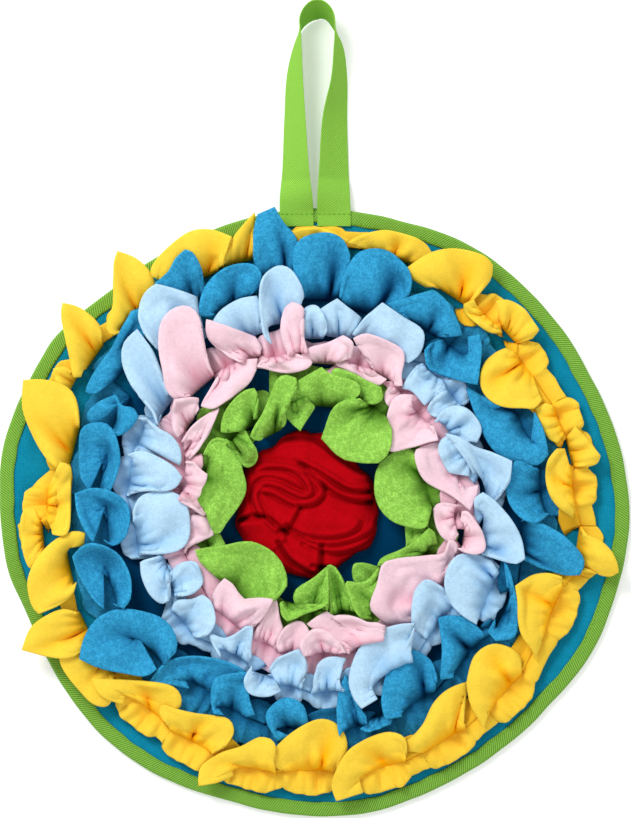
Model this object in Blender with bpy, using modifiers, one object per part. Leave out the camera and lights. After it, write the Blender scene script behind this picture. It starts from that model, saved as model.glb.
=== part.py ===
"""Round fleece snuffle mat: bound ground cloth, hanging loop, five petal rings and a rosette.

Frame: metres, +Z up, origin on the underside of the cloth at the middle of the mat, +Y to the
hanging loop. A place on the mat is a clock angle, in degrees from the loop clockwise seen from
above, and a radius. The tables and the constants below are in millimetres.
"""
import math
from typing import NamedTuple

import bmesh
import bpy
import numpy as np

MM = 0.001
OBJECT_NAME = "snuffle_mat"

CLOTH_THICKNESS = 2.5
SEAT_GAP = 0.3            # between pieces that touch
RIM_STATIONS = 72         # round the edge of the mat

TAPE_THICKNESS = 1.0
TAPE_WIDTH = 22.0         # folded in half over the edge, full width in the loop
BINDING_COVER = 11.0      # how far the binding reaches in from the edge
CLOTH_INSET = 2.2         # of the cloth's edge inside the folded tape
RIM_RISE = TAPE_THICKNESS + SEAT_GAP
RAMP_START = 25.0         # from the edge, where the cloth begins to rise on to the tape
RAMP_END = 13.5

FLEECE_THICKNESS = 1.8
STRIP_SEAT = 0.5          # of each sewn strip over the cloth
FRILL_RISE = 3.0          # of the frill's edge over its seam
OUTWARD_FRILL = 8.0       # frill under a petal that leans outwards
FRILL_NOTCH = 3.0         # by which it is drawn in between two petals
ROOT_SHARE = 0.72         # of the way to its neighbours that a petal's root takes up
ROOT_LIMITS = (10.0, 30.0)
COLLAR_HEIGHT = 8.0       # that an outward petal stands up before it spreads
PINCH_DEPTH = 6.0         # of the gathered crease in an inward petal's root
PINCH_WIDTH = 0.42        # of that crease, as a share of half the root
EDGE_FULLNESS = 0.8       # 1 for an elliptic free edge, less for a fuller one
LAY_CLEARANCE = 0.9       # between a petal and those it lies on
CELL = 1.5                # of the height map that the petals are laid over
MAP_HALF = 252.0

LOOP_STATIONS = 44
LOOP_REST_HEIGHT = 5.9    # middle of the tape where it lies on the binding
LOOP_LANDING = (228.0, 262.0)   # stretch in which the tape comes down to the floor


class Rim(NamedTuple):
    """Clock angle and radius of the edge of the mat."""
    at: float
    radius: float


RIM = (
    Rim(0, 222), Rim(15, 222), Rim(30, 226), Rim(60, 225), Rim(90, 230), Rim(115, 227),
    Rim(132, 221), Rim(150, 219.5), Rim(172, 222), Rim(195, 219), Rim(220, 224),
    Rim(248, 221.5), Rim(262, 227.5), Rim(282, 231.5), Rim(302, 228.5), Rim(320, 219.5),
    Rim(335, 219),
)


class LoopRow(NamedTuple):
    """Middle of the loop's tape, and its turn from flat; past 90 its far face shows."""
    x: float
    y: float
    twist: float


LOOP = (
    LoopRow(-13.7, 209, 0), LoopRow(-13.7, 226, 4), LoopRow(-13.3, 250, 28),
    LoopRow(-13.9, 286, 45), LoopRow(-13.9, 320, 60), LoopRow(-10.8, 347, 84),
    LoopRow(-6.6, 360, 110), LoopRow(2.0, 366.5, 126), LoopRow(10.4, 363, 110),
    LoopRow(14.8, 353, 92), LoopRow(18.0, 338, 71), LoopRow(18.3, 315, 58),
    LoopRow(15.1, 286, 34), LoopRow(14.4, 250, 18), LoopRow(13.9, 226, 3),
    LoopRow(13.9, 209, 0),
)


class Petal(NamedTuple):
    """One petal. Places are clock angle and radius; heights are above the seam's collar.

    at, out: middle of the gathered root. tip, tip_r: end of the petal. lo, lo_r and hi, hi_r:
    its corners on the side of the lower and of the higher clock angle. dome: rise of its
    middle. lip: rise of its end. up_lo, up_hi: rise of its sides. fold: place of a crease
    from the root, from -1 at the lo side to 1. order: a higher one lies over its neighbours.
    """
    at: float
    out: float
    tip: float
    tip_r: float
    lo: float
    lo_r: float
    hi: float
    hi_r: float
    dome: float
    lip: float
    up_lo: float
    up_hi: float
    fold: float
    order: int


YELLOW = (
    Petal(1, 194, 1, 209, 353, 203, 9, 203, 2, 0, 0, 0, 0, 0),
    Petal(17, 197, 16, 215, 8, 206, 25, 207, 4, 0, 0, 0, 0.3, 0),
    Petal(33, 187, 31, 226, 20, 191, 38.5, 207, 8, 5, 4, 2, 0.4, 1),
    Petal(42, 190, 42, 180, 35.5, 194, 48.5, 194, 6, 5, 2, 2, 0.3, 1),
    Petal(54.5, 187, 55, 150, 47.5, 172, 64.5, 181, 8, 6, 3, 3, -0.3, 2),
    Petal(72.5, 192, 65.5, 175, 65, 190, 78.5, 194, 6, 6, 3, 3, 0, 3),
    Petal(84, 189, 82, 169, 75, 184, 93, 188, 7, 4, 3, 3, 0, 1),
    Petal(96, 194, 100, 226, 92, 213, 103, 204, 7, 8, 4, 4, -0.4, 2),
    Petal(112, 187, 110, 155, 103.5, 178, 122, 185, 8, 6, 3, 3, -0.1, 2),
    Petal(125.5, 188, 126, 172, 120.5, 182, 131.5, 186, 2, -2, 2, 2, 0, 0),
    Petal(135, 188, 130, 155, 124.5, 173, 142, 191, 8, 6, 3, 3, 0.2, 2),
    Petal(149, 188, 145, 160, 138, 174, 159, 179, 7, 6, 3, 3, 0.3, 1),
    Petal(166, 190, 167, 166, 158, 180, 176.5, 200, 7, 6, 3, 3, -0.2, 2),
    Petal(181, 186, 178, 149, 171, 166, 191.5, 183, 8, 4, 4, 4, 0, 1),
    Petal(199, 192, 190, 165, 192, 188, 205, 188, 6, 8, 2, 2, 0, 2),
    Petal(210.5, 186, 208, 161, 200, 176, 219.5, 180, 6, 4, 4, 4, 0, 1),
    Petal(226, 189, 216, 162, 215.5, 184, 232, 184, 6, 7, 2, 2, 0.2, 2),
    Petal(236, 193, 235, 215, 228, 207, 242, 208, 2, 0, 0, 0, 0, 0),
    Petal(244, 194, 245, 233, 238.5, 208, 250.5, 209, 8, 8, 3, 3, 0.2, 2),
    Petal(254, 196, 264, 166, 250, 186, 265, 192, 7, 8, 2, 2, -0.2, 2),
    Petal(271, 194, 272, 176, 262, 184, 281.5, 185, 6, 5, 3, 3, 0, 1),
    Petal(285, 186, 292, 233, 279, 208, 299, 210, 8, 6, 3, 3, 0.2, 2),
    Petal(302, 192, 307, 236, 296, 214, 313, 216, 8, 8, 3, 3, 0, 1),
    Petal(317, 190, 321, 236, 310.5, 213, 327.5, 214, 8, 8, 3, 3, -0.3, 2),
    Petal(334, 188, 335, 224, 325, 212, 344, 210, 7, 5, 2, 2, 0, 1),
    Petal(346, 191, 345, 222, 340.5, 208, 350.5, 210, 4, 4, 2, 2, 0, 0),
)
BLUE = (
    Petal(1.5, 160, 1, 205, 353, 182, 8, 186, 8, 6, 3, -3, 0.4, 2),
    Petal(15, 156, 15, 199, 6, 180, 23.5, 178, 9, 4, 2, 2, 0.4, 1),
    Petal(30, 158, 30, 185, 19.5, 166, 40, 168, 8, 5, 2, 2, 0.3, 2),
    Petal(43, 158, 39, 132, 34, 152, 52, 150, 6, 6, 4, 4, -0.4, 1),
    Petal(65, 163, 65, 135, 50, 152, 78, 165, 8, 5, 2, 2, 0.3, 1),
    Petal(83, 160, 84, 139, 75, 152, 93, 156, 6, 4, 3, 3, 0, 1),
    Petal(96, 160, 101, 202, 90.5, 180, 106, 180, 9, 8, 4, -4, 0.3, 2),
    Petal(115, 160, 112, 139, 103.5, 156, 125.5, 160, 6, 6, 2, 2, 0, 1),
    Petal(132, 151, 131, 116, 123, 142, 142.5, 142, 8, 6, 3, 3, 0, 2),
    Petal(151, 152, 149, 116, 139.5, 138, 162, 153, 8, 5, 4, 4, -0.4, 1),
    Petal(167, 154, 168, 118, 160, 143, 174, 139, 6, 5, 3, 3, 0.2, 2),
    Petal(188, 156, 187, 132, 182, 149, 194.5, 151, 6, 4, 3, 3, 0, 1),
    Petal(203, 153, 203, 121, 196, 145, 211.5, 143, 7, 5, 4, 4, 0, 2),
    Petal(218, 156, 217, 123, 211, 148, 225.5, 150, 6, 7, 2, 2, 0, 1),
    Petal(231.5, 148, 238, 201, 225, 174, 245.5, 170, 9, 5, 1, 1, -0.4, 2),
    Petal(252.5, 144, 252, 179, 243.5, 160, 262.5, 166, 9, 5, -2, 2, -0.3, 1),
    Petal(268, 142, 267, 175, 260.5, 156, 276, 160, 9, 5, -2, 2, -0.3, 2),
    Petal(283.5, 150, 284, 181, 274.5, 164, 293.5, 166, 8, 5, -1, 2, -0.3, 1),
    Petal(297, 148, 296, 181, 290.5, 162, 304, 168, 7, 7, 4, 4, 0.3, 2),
    Petal(311, 176, 309, 199, 300, 190, 320, 191, 2, 0, 0, 0, 0.2, 0),
    Petal(327.5, 172, 331, 214, 324.5, 196, 336.5, 198, 6, 7, 3, 3, 0, 1),
    Petal(339.5, 162, 338, 190, 330, 170, 348, 173, 7, 5, 2, 2, -0.2, 2),
    Petal(351.5, 160, 352, 226, 346, 190, 357.5, 194, 9, 8, 4, -3, 0.3, 3),
)
SKY = (
    Petal(5, 127, 5, 158, 357.5, 144, 12.5, 143, 7, 4, 2, 2, 0, 1),
    Petal(23, 130, 19, 162, 12, 148, 34, 139, 8, 4, 2, 2, 0.2, 2),
    Petal(39.5, 131, 40, 109, 34, 124, 46.5, 126, 6, 6, 3, 3, 0, 1),
    Petal(49.5, 132, 49.5, 112, 46, 126, 53.5, 128, 3, 0, 3, 3, 0, 0),
    Petal(59, 129, 58, 107, 51, 122, 66, 123, 6, 6, 2, 2, 0, 1),
    Petal(67, 125, 66, 99, 59, 112, 73, 110, 5, 3, 2, 2, 0, 0),
    Petal(79, 130, 69, 110, 67, 119, 86, 129, 7, 5, 2, 2, -0.2, 2),
    Petal(97, 136, 84.5, 117, 88, 136, 104, 129, 7, 7, 2, -2, 0.4, 1),
    Petal(115, 138, 113, 103, 103, 128, 125, 129, 8, 5, 3, 3, 0.2, 2),
    Petal(130, 122, 128, 93, 120.5, 112, 138, 112, 6, 4, 2, 2, 0, 1),
    Petal(154, 134, 147, 96, 137.5, 119, 168, 133, 8, 5, 3, 3, 0.3, 2),
    Petal(174.5, 135, 175, 103, 165.5, 126, 184, 125, 7, 5, 4, 4, 0, 1),
    Petal(193.5, 130, 192, 97, 183.5, 112, 203, 112, 8, 4, 1, 1, 0, 2),
    Petal(210.5, 120, 208, 94, 200.5, 110, 221.5, 114, 7, 5, 3, 3, 0, 1),
    Petal(230, 122, 230, 95, 221, 112, 240.5, 112, 7, 5, 3, 3, 0.2, 2),
    Petal(246.5, 124, 246, 94, 238.5, 113, 255, 113, 8, 5, 2, 2, 0.2, 1),
    Petal(267, 108, 267, 143, 256, 126, 279.5, 126, 9, 4, 0, 2, -0.3, 2),
    Petal(283, 110, 282, 150, 274.5, 133, 291, 131, 8, 5, 3, 3, -0.2, 1),
    Petal(295, 114, 294, 151, 288.5, 134, 301.5, 133, 7, 6, 3, 3, 0.2, 2),
    Petal(308, 130, 309, 188, 299, 160, 317.5, 159, 9, 6, 3, 3, 0, 1),
    Petal(323, 137, 324, 203, 315, 172, 332, 174, 9, 4, 1, 2, 0.3, 2),
    Petal(338, 133, 337, 166, 330, 149, 346, 151, 7, 5, 2, 2, 0, 1),
    Petal(350.5, 129, 350, 183, 343.5, 156, 357, 158, 9, 5, 1, 1, 0, 2),
    Petal(358.5, 121, 359, 153, 354, 138, 4.5, 138, 5, 3, 2, 2, 0, 0),
)
PINK = (
    Petal(14, 105, 14, 131, 1.5, 118, 28, 119, 6, 2, 2, 2, 0.2, 0),
    Petal(26, 108, 23, 137, 13, 123, 35, 116, 6, 6, 2, 2, 0.2, 2),
    Petal(36.5, 108, 35.5, 90, 29, 101, 42.5, 102, 4, 3, 2, 2, 0, 0),
    Petal(50, 101, 50, 69, 39.5, 95, 60.5, 98, 8, 5, 3, 3, -0.4, 1),
    Petal(74, 104, 72, 81, 58, 98, 89.5, 98, 7, 4, 2, 2, 0, 1),
    Petal(97, 112, 97, 84, 89, 104, 106, 106, 6, 5, 4, 4, 0, 2),
    Petal(128, 95, 127, 59, 107, 82, 148.5, 84, 8, 5, 3, 3, -0.2, 1),
    Petal(161, 98, 162, 70, 148.5, 89, 178.5, 88, 7, 5, 3, 3, 0.3, 2),
    Petal(185, 103, 180, 79, 166.5, 97, 200.5, 96, 6, 4, 4, 4, -0.3, 1),
    Petal(217, 93, 217, 66, 201, 82, 233.5, 83, 7, 5, 4, 4, 0.2, 2),
    Petal(259, 89, 259, 71, 250, 82, 268, 83, 4, 2, 2, 2, 0, 0),
    Petal(281, 92, 282, 61, 268, 84, 294.5, 84, 7, 6, 3, 3, 0, 1),
    Petal(301, 100, 306, 133, 298.5, 121, 313.5, 119, 6, 5, 2, 2, 0.2, 1),
    Petal(309, 95, 307, 109, 297, 104, 315, 104, 3, 4, 0, 0, 0, 0),
    Petal(319, 111, 318, 179, 308, 148, 330.5, 150, 10, 6, 3, 2, 0.2, 3),
    Petal(329, 104, 328, 147, 315, 120, 340.5, 125, 7, 6, 3, 3, 0.3, 2),
    Petal(345, 105, 347, 131, 338, 118, 356.5, 118, 5, 2, 2, 2, 0, 0),
    Petal(355.5, 108, 353, 156, 350, 138, 358, 136, 6, 8, 1, 1, 0, 1),
)
GREEN = (
    Petal(2, 78, 1, 107, 344, 92, 20, 91, 7, 4, 3, 3, 0, 2),
    Petal(29, 83, 32, 51, 9, 73, 53.5, 73, 8, 5, 2, 2, -0.4, 1),
    Petal(76, 79, 74, 48, 55, 66, 97.5, 66, 8, 4, 2, 2, -0.3, 2),
    Petal(111, 82, 113, 57, 97.5, 75, 126.5, 66, 6, 6, 3, 3, -0.3, 1),
    Petal(144, 79, 142, 46, 128.5, 66, 158.5, 68, 7, 6, 4, 4, 0, 2),
    Petal(178, 75, 166, 39, 158, 62, 199.5, 68, 7, 6, 3, -2, 0.3, 1),
    Petal(228, 77, 229, 48, 201, 69, 253.5, 69, 9, 4, 2, 2, 0, 2),
    Petal(284, 79, 281, 50, 258, 75, 309.5, 80, 7, 5, 3, 3, 0.3, 1),
    Petal(315, 70, 322, 104, 303.5, 88, 336, 88, 6, 6, 4, 4, -0.3, 2),
    Petal(341, 72, 336, 102, 323.5, 85, 351, 85, 6, 5, 4, 4, 0.3, 1),
)


class RingSpec(NamedTuple):
    """A ring's node, its petals, the width of its frill outside the seam and its colour."""
    node: str
    petals: tuple
    frill: float
    colour: tuple


RINGS = (
    RingSpec("petal_ring_yellow", YELLOW, 16.0, (0.93, 0.56, 0.03, 1.0)),
    RingSpec("petal_ring_blue", BLUE, 12.0, (0.03, 0.30, 0.60, 1.0)),
    RingSpec("petal_ring_sky", SKY, 10.0, (0.40, 0.64, 0.90, 1.0)),
    RingSpec("petal_ring_pink", PINK, 9.0, (0.84, 0.56, 0.64, 1.0)),
    RingSpec("petal_ring_green", GREEN, 8.0, (0.22, 0.58, 0.07, 1.0)),
)
PETAL_COLUMNS = (-1.0, -0.5, 0.0, 0.5, 1.0)
PETAL_ROWS = (0.0, 0.12, 0.4, 0.72, 1.0)


class Fold(NamedTuple):
    """A fold of the rosette's cloth: height of its ridge and the line that it follows."""
    height: float
    line: tuple


ROSETTE_MIDDLE = (-2.0, 4.0)
ROSETTE_REACH = (57, 54, 47, 47, 50, 49, 47, 47, 51, 53, 54, 56)   # every 30 degrees clockwise
ROSETTE_CROWN = 21.0      # height over the cloth at its middle
ROSETTE_EDGE = 5.0        # and at its edge
FOLD_WIDTH = 3.0
FOLDS = (
    Fold(3.5, ((43, 24), (22, 27), (0, 32.5), (-12, 40))),
    Fold(3.5, ((43, 13), (33, 13), (16, 19), (5, 28), (-10, 38))),
    Fold(4.0, ((-39, 32), (-26, 35), (-14, 32), (-5, 23), (-3, 16), (-7, 14), (-17, 15))),
    Fold(4.0, ((-17, 15), (-32, 22), (-42, 21), (-43, 13), (-37, 3), (-27, -8))),
    Fold(3.0, ((-17, 12), (-5, 9), (2, 12), (6, 17), (2, 24), (-2, 31))),
    Fold(3.0, ((-37, 40), (-17, 49), (0, 49.5), (20, 45))),
    Fold(3.5, ((-22, -21), (-17, -30), (-12, -40))),
    Fold(3.0, ((-52, -10), (-40, -14), (-28, -16))),
)
COIL_MIDDLE = (11.0, 1.0)
COIL_RADII = (15.0, 22.0, 29.5, 37.0)
COIL_SWEEP = (75.0, 250.0)   # clock angles at which its layers' edges begin and end
COIL_HEIGHT = 2.5
ROSETTE_SIDES = 60
ROSETTE_RINGS = 12
ROSETTE_COLOUR = (0.60, 0.006, 0.02, 1.0)


def direction(clock):
    """Unit vector of a clock angle, along the last axis."""
    turn = np.radians(clock)
    return np.stack([np.sin(turn), np.cos(turn)], axis=-1)


def place(clock, radius):
    """Point on the mat from its clock angle and radius."""
    return np.asarray(radius)[..., None] * direction(clock)


def catmull_rom(points, count, closed=False):
    """Sample a smooth curve through the points at evenly spaced parameters."""
    points = np.asarray(points, dtype=float)
    spans = len(points) if closed else len(points) - 1
    t = np.arange(count) * spans / (count if closed else count - 1)
    i = np.minimum(t.astype(int), spans - 1)
    u = (t - i)[:, None]
    if closed:
        a, b, c, d = (points[(i + k) % len(points)] for k in (-1, 0, 1, 2))
    else:
        a, b, c, d = (points[np.clip(i + k, 0, spans)] for k in (-1, 0, 1, 2))
    return 0.5 * (2 * b + (c - a) * u + (2 * a - 5 * b + 4 * c - d) * u ** 2
                  + (3 * b - a - 3 * c + d) * u ** 3)


def smooth_step(x):
    """Rise smoothly from 0 to 1 as x does."""
    x = np.clip(x, 0.0, 1.0)
    return x * x * (3 - 2 * x)


def rim_radius(clock):
    """Radius of the edge of the mat, eased between the rows of the rim."""
    at = np.array([row.at for row in RIM] + [RIM[0].at + 360.0])
    radius = np.array([row.radius for row in RIM] + [RIM[0].radius])
    clock = np.mod(clock, 360.0)
    i = np.clip(np.searchsorted(at, clock, side="right") - 1, 0, len(RIM) - 1)
    ease = smooth_step((clock - at[i]) / (at[i + 1] - at[i]))
    return radius[i] + (radius[i + 1] - radius[i]) * ease


def cloth_rise(inset):
    """Rise of the cloth on to the folded tape, from the distance to the edge."""
    return RIM_RISE * smooth_step((RAMP_START - inset) / (RAMP_START - RAMP_END))


def cloth_top(points):
    """Height of the top of the ground cloth at points on the mat."""
    clock = np.degrees(np.arctan2(points[..., 0], points[..., 1]))
    inset = rim_radius(clock) - np.hypot(points[..., 0], points[..., 1])
    return CLOTH_THICKNESS + cloth_rise(inset)


def seam_height(points):
    """Middle of a sewn strip's thickness, where it lies on the cloth."""
    return cloth_top(points) + STRIP_SEAT + FLEECE_THICKNESS / 2


def new_object(name, vertices, faces, colour, roughness=0.9, thickness=None):
    """Make a mesh object from millimetre points, with its own material and wall."""
    mesh = bpy.data.meshes.new(name)
    mesh.from_pydata([tuple(v) for v in np.asarray(vertices) * MM], [], faces)
    obj = bpy.data.objects.new(name, mesh)
    bpy.data.collections[OBJECT_NAME].objects.link(obj)
    material = bpy.data.materials.new(name)
    material.use_nodes = True
    shader = material.node_tree.nodes["Principled BSDF"]
    shader.inputs["Base Color"].default_value = colour
    shader.inputs["Roughness"].default_value = roughness
    shader.inputs["Metallic"].default_value = 0.0
    material.diffuse_color = colour
    mesh.materials.append(material)
    if thickness:
        wall = obj.modifiers.new("wall", "SOLIDIFY")
        wall.thickness = thickness * MM
        wall.offset = 0.0
        wall.use_quality_normals = True
    return obj


def grid_faces(columns, rows, start=0, wrap=False):
    """Quads of a grid of points stored row by row."""
    steps = columns if wrap else columns - 1
    return [(start + r * columns + c, start + r * columns + (c + 1) % columns,
             start + (r + 1) * columns + (c + 1) % columns, start + (r + 1) * columns + c)
            for r in range(rows - 1) for c in range(steps)]


def weld(obj):
    """Merge points that fall together and turn the faces outwards."""
    shape = bmesh.new()
    shape.from_mesh(obj.data)
    bmesh.ops.remove_doubles(shape, verts=shape.verts, dist=0.01 * MM)
    bmesh.ops.recalc_face_normals(shape, faces=shape.faces)
    shape.to_mesh(obj.data)
    shape.free()


def build_base():
    """Ground cloth: flat underneath, rising a little on to the folded tape at its edge."""
    clock = np.arange(RIM_STATIONS) * -360.0 / RIM_STATIONS
    edge = rim_radius(clock)
    insets = (CLOTH_INSET, RAMP_END, (RAMP_START + RAMP_END) / 2, RAMP_START, 70.0)
    rings = [np.column_stack([place(clock, edge - inset), cloth_rise(np.full(len(clock), inset))])
             for inset in insets]
    lower = np.vstack(rings)
    upper = lower + (0.0, 0.0, CLOTH_THICKNESS)
    count = len(lower)
    n = RIM_STATIONS
    faces = [tuple(reversed(f)) for f in grid_faces(n, len(insets), 0, wrap=True)]
    faces += grid_faces(n, len(insets), count, wrap=True)
    faces += [(i, (i + 1) % n, count + (i + 1) % n, count + i) for i in range(n)]
    inner = (len(insets) - 1) * n
    faces.append(tuple(range(inner + n - 1, inner - 1, -1)))
    faces.append(tuple(range(count + inner, count + inner + n)))
    base = new_object("base_cloth", np.vstack([lower, upper]), faces, (0.004, 0.17, 0.26, 1.0))
    weld(base)


def build_binding():
    """Twill tape folded over the edge of the cloth: one open section carried round the rim."""
    half = TAPE_THICKNESS / 2
    top = RIM_RISE + CLOTH_THICKNESS + SEAT_GAP + half
    section = ((BINDING_COVER, top), (1.6, top), (half, top - 1.1), (half, half + 1.1),
               (1.6, half), (BINDING_COVER, half))
    clock = np.arange(RIM_STATIONS) * 360.0 / RIM_STATIONS
    edge = rim_radius(clock)
    rows = [np.column_stack([place(clock, edge - inset), np.full(len(clock), z)])
            for inset, z in section]
    new_object("edge_binding", np.vstack(rows), grid_faces(RIM_STATIONS, len(section), 0, True),
               (0.17, 0.43, 0.03, 1.0), 0.8, TAPE_THICKNESS)


def build_loop():
    """Hanging loop: a flat tape that turns on to its edge on the way to its bend."""
    path = catmull_rom([(row.x, row.y, row.twist) for row in LOOP], LOOP_STATIONS)
    along = np.gradient(path[:, :2], axis=0)
    along /= np.linalg.norm(along, axis=1)[:, None]
    inward = np.column_stack([along[:, 1], -along[:, 0]])
    twist = np.radians(path[:, 2])
    half = TAPE_WIDTH / 2
    landed = smooth_step((path[:, 1] - LOOP_LANDING[0]) / (LOOP_LANDING[1] - LOOP_LANDING[0]))
    height = np.maximum(half * np.sin(twist) + TAPE_THICKNESS, LOOP_REST_HEIGHT * (1 - landed))
    across = np.column_stack([inward * np.cos(twist)[:, None], np.sin(twist)])
    middle = np.column_stack([path[:, :2], height])
    rows = np.vstack([middle + across * offset for offset in (-half, 0.0, half)])
    new_object("hanging_loop", rows, grid_faces(LOOP_STATIONS, 3),
               (0.22, 0.56, 0.06, 1.0), 0.8, TAPE_THICKNESS)


def root_widths(petals):
    """Width of each petal's root: a share of the way from one neighbour to the other."""
    roots = np.array([place(petal.at, petal.out) for petal in petals])
    step = np.linalg.norm(np.roll(roots, -1, axis=0) - roots, axis=1)
    return np.clip(ROOT_SHARE * np.minimum(step, np.roll(step, 1)), *ROOT_LIMITS)


def petal_plan(petal, width, columns, rows):
    """Plan of a petal, columns x rows x 2: straight rays from its root to its free edge.

    The free edge is two quarter ovals that meet at the tip; their middle lies on the
    petal's line, level with its corners.
    """
    s, t = np.asarray(columns)[:, None], np.asarray(rows)[None, :, None]
    across = direction(petal.at + 90.0)
    root = place(petal.at, petal.out)
    tip, lo, hi = (place(a, r) for a, r in ((petal.tip, petal.tip_r), (petal.lo, petal.lo_r),
                                            (petal.hi, petal.hi_r)))
    line = (tip - root) / np.linalg.norm(tip - root)
    middle = root + line * np.dot((lo + hi) / 2 - root, line)
    corner = np.where(s < 0, lo, hi)
    turn = np.abs(s) * math.pi / 2
    edge = (middle + (tip - middle) * np.cos(turn).clip(0) ** EDGE_FULLNESS
            + (corner - middle) * np.sin(turn) ** EDGE_FULLNESS)
    start = root + across * s * width / 2
    return start[:, None, :] * (1 - t) + edge[:, None, :] * t


def leans_outward(petal):
    """Whether a petal lies outside its root."""
    return petal.tip_r > petal.out


def pinch(petal, columns):
    """How far the gathering thread draws each column of the root down, from 0 to 1."""
    return np.exp(-((np.asarray(columns) - petal.fold) / PINCH_WIDTH) ** 2)


def root_rise(petal, columns):
    """Rise of the seam along a petal's root: nil outwards, else all but the pinch."""
    rise = PINCH_DEPTH * (1 - pinch(petal, columns))
    return np.zeros_like(rise) if leans_outward(petal) else rise


def petal_height(petal, columns, rows):
    """Height of a petal over its seam: a dome, a lip and a cup, on a steep collar if it leans
    outwards, or on a pinched root that it crosses in one hump if it leans inwards.
    """
    s, t = np.asarray(columns)[:, None], np.asarray(rows)[None, :]
    body = 4 * petal.dome * t * (1 - t) * (1 - 0.35 * s ** 2) + petal.lip * t ** 2
    if leans_outward(petal):
        crease = PINCH_DEPTH * pinch(petal, s) * (1 - t) ** 1.5 * np.sqrt(t)
        root = COLLAR_HEIGHT * (1 - np.exp(-t / 0.06)) - crease
    else:
        root = PINCH_DEPTH * (1 - pinch(petal, s) * (1 - t) ** 2)
    side = np.where(s < 0, petal.up_lo, petal.up_hi)
    return root + body + side * s ** 2 * t


class HeightMap:
    """Highest sheet over each cell of the mat, for laying one more petal over all of them."""

    def __init__(self):
        size = int(2 * MAP_HALF / CELL)
        self.height = np.full((size, size), -50.0)
        reach = FLEECE_THICKNESS + LAY_CLEARANCE
        steps = int(math.ceil(reach / CELL))
        self.ball = [(i, j, math.sqrt(max(reach ** 2 - (CELL * math.hypot(i, j)) ** 2, 0)))
                     for i in range(-steps, steps + 1) for j in range(-steps, steps + 1)
                     if CELL * math.hypot(i, j) <= reach + CELL / 2]

    def cells(self, points):
        """Row and column of the cell under each point."""
        index = ((points[..., :2] + MAP_HALF) / CELL).astype(int)
        return np.clip(index, 3, len(self.height) - 4)

    def add(self, points):
        """Raise the map to points on a sheet."""
        index = self.cells(points).reshape(-1, 2)
        np.maximum.at(self.height, (index[:, 0], index[:, 1]), points[..., 2].ravel())

    def clear_height(self, points):
        """Lowest middle height at which one more sheet clears what lies under the points."""
        index = self.cells(points)
        return np.max([self.height[index[..., 0] + i, index[..., 1] + j] + rise
                       for i, j, rise in self.ball], axis=0)


def dense(grid, columns=17, rows=25, side=0):
    """Resample a grid of points to many points on its faces.

    A face that isn't flat is cut along one of its two diagonals: side 1 gives the upper of
    the two cuts, -1 the lower one and 0 the surface between them.
    """
    u = np.linspace(0, grid.shape[0] - 1, columns)
    v = np.linspace(0, grid.shape[1] - 1, rows)
    i = np.minimum(u.astype(int), grid.shape[0] - 2)
    j = np.minimum(v.astype(int), grid.shape[1] - 2)
    a, b = (u - i)[:, None, None], (v - j)[None, :, None]
    near, far = grid[i][:, j], grid[i + 1][:, j]
    near_next, far_next = grid[i][:, j + 1], grid[i + 1][:, j + 1]
    points = (near * (1 - a) + far * a) * (1 - b) + (near_next * (1 - a) + far_next * a) * b
    bow = side * (far_next - far - near_next + near)[..., 2]
    a, b = a[..., 0], b[..., 0]
    rising = np.minimum(a, b) * (1 - np.maximum(a, b))
    falling = np.minimum(1 - a, b) * (1 - np.maximum(1 - a, b))
    points[..., 2] += side * bow * np.where(bow > 0, rising, -falling)
    return points, u, v


def lay(petal_grid, heights):
    """Lift the free points of a petal until its faces clear all that lies there."""
    grid = petal_grid.copy()
    for _ in range(6):
        points, u, v = dense(grid, side=-1)
        short = heights.clear_height(points) - points[..., 2]
        short[:, v < 1.0] = 0.0
        if short.max() <= 0.05:
            break
        lift = np.zeros(grid.shape[:2])
        for i in range(grid.shape[0]):
            for j in range(1, grid.shape[1]):
                near = (np.abs(u - i)[:, None] < 1.0) & (np.abs(v - j)[None, :] < 1.0)
                lift[i, j] = max(0.0, short[near].max())
        grid[..., 2] += lift * 0.7
    return grid


def covers(grid, points):
    """Whether any of the points lies under a petal's plan, or close to it."""
    spots = dense(grid)[0][:, 5:, :2].reshape(-1, 2)
    gap = spots[:, None, :] - points[None, :, :]
    return bool((np.einsum("ijk,ijk->ij", gap, gap) < 3.0 ** 2).any())


def laying_order(grids, petals):
    """Order in which each petal comes after every petal whose root it covers."""
    roots = [grid[:, 0, :2] for grid in grids]
    middles = [place(petal.at, petal.out) for petal in petals]
    under = {i: set() for i in range(len(grids))}
    for i, j in ((i, j) for i in under for j in under if i != j):
        if np.linalg.norm(middles[i] - middles[j]) < 110 and covers(grids[i], roots[j]):
            under[i].add(j)
    order = []
    while under:
        free = [i for i in under if not under[i]] or [min(under, key=lambda i: len(under[i]))]
        pick = min(free, key=lambda i: (petals[i].order, i))
        order.append(pick)
        del under[pick]
        for left in under.values():
            left.discard(pick)
    return order


def ring_seam(ring):
    """Seam and frill points of a ring: five along each root, the frill drawn in at its ends."""
    seam, outer = [], []
    columns = np.asarray(PETAL_COLUMNS)
    for petal, width in zip(ring.petals, root_widths(ring.petals)):
        points = place(petal.at, petal.out) + direction(petal.at + 90.0) * (
            columns[:, None] * width / 2)
        clock = np.degrees(np.arctan2(points[:, 0], points[:, 1]))
        limit = rim_radius(clock) - BINDING_COVER - 1.5
        frill = OUTWARD_FRILL if leans_outward(petal) else ring.frill
        reach = np.minimum(petal.out + frill - FRILL_NOTCH * columns ** 4, limit)
        edge = place(clock, reach)
        rise = 0.0 if leans_outward(petal) else FRILL_RISE
        seam.append(np.column_stack([points, seam_height(points) + root_rise(petal, columns)]))
        outer.append(np.column_stack([edge, seam_height(edge) + rise]))
    return np.vstack(seam), np.vstack(outer)


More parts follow.
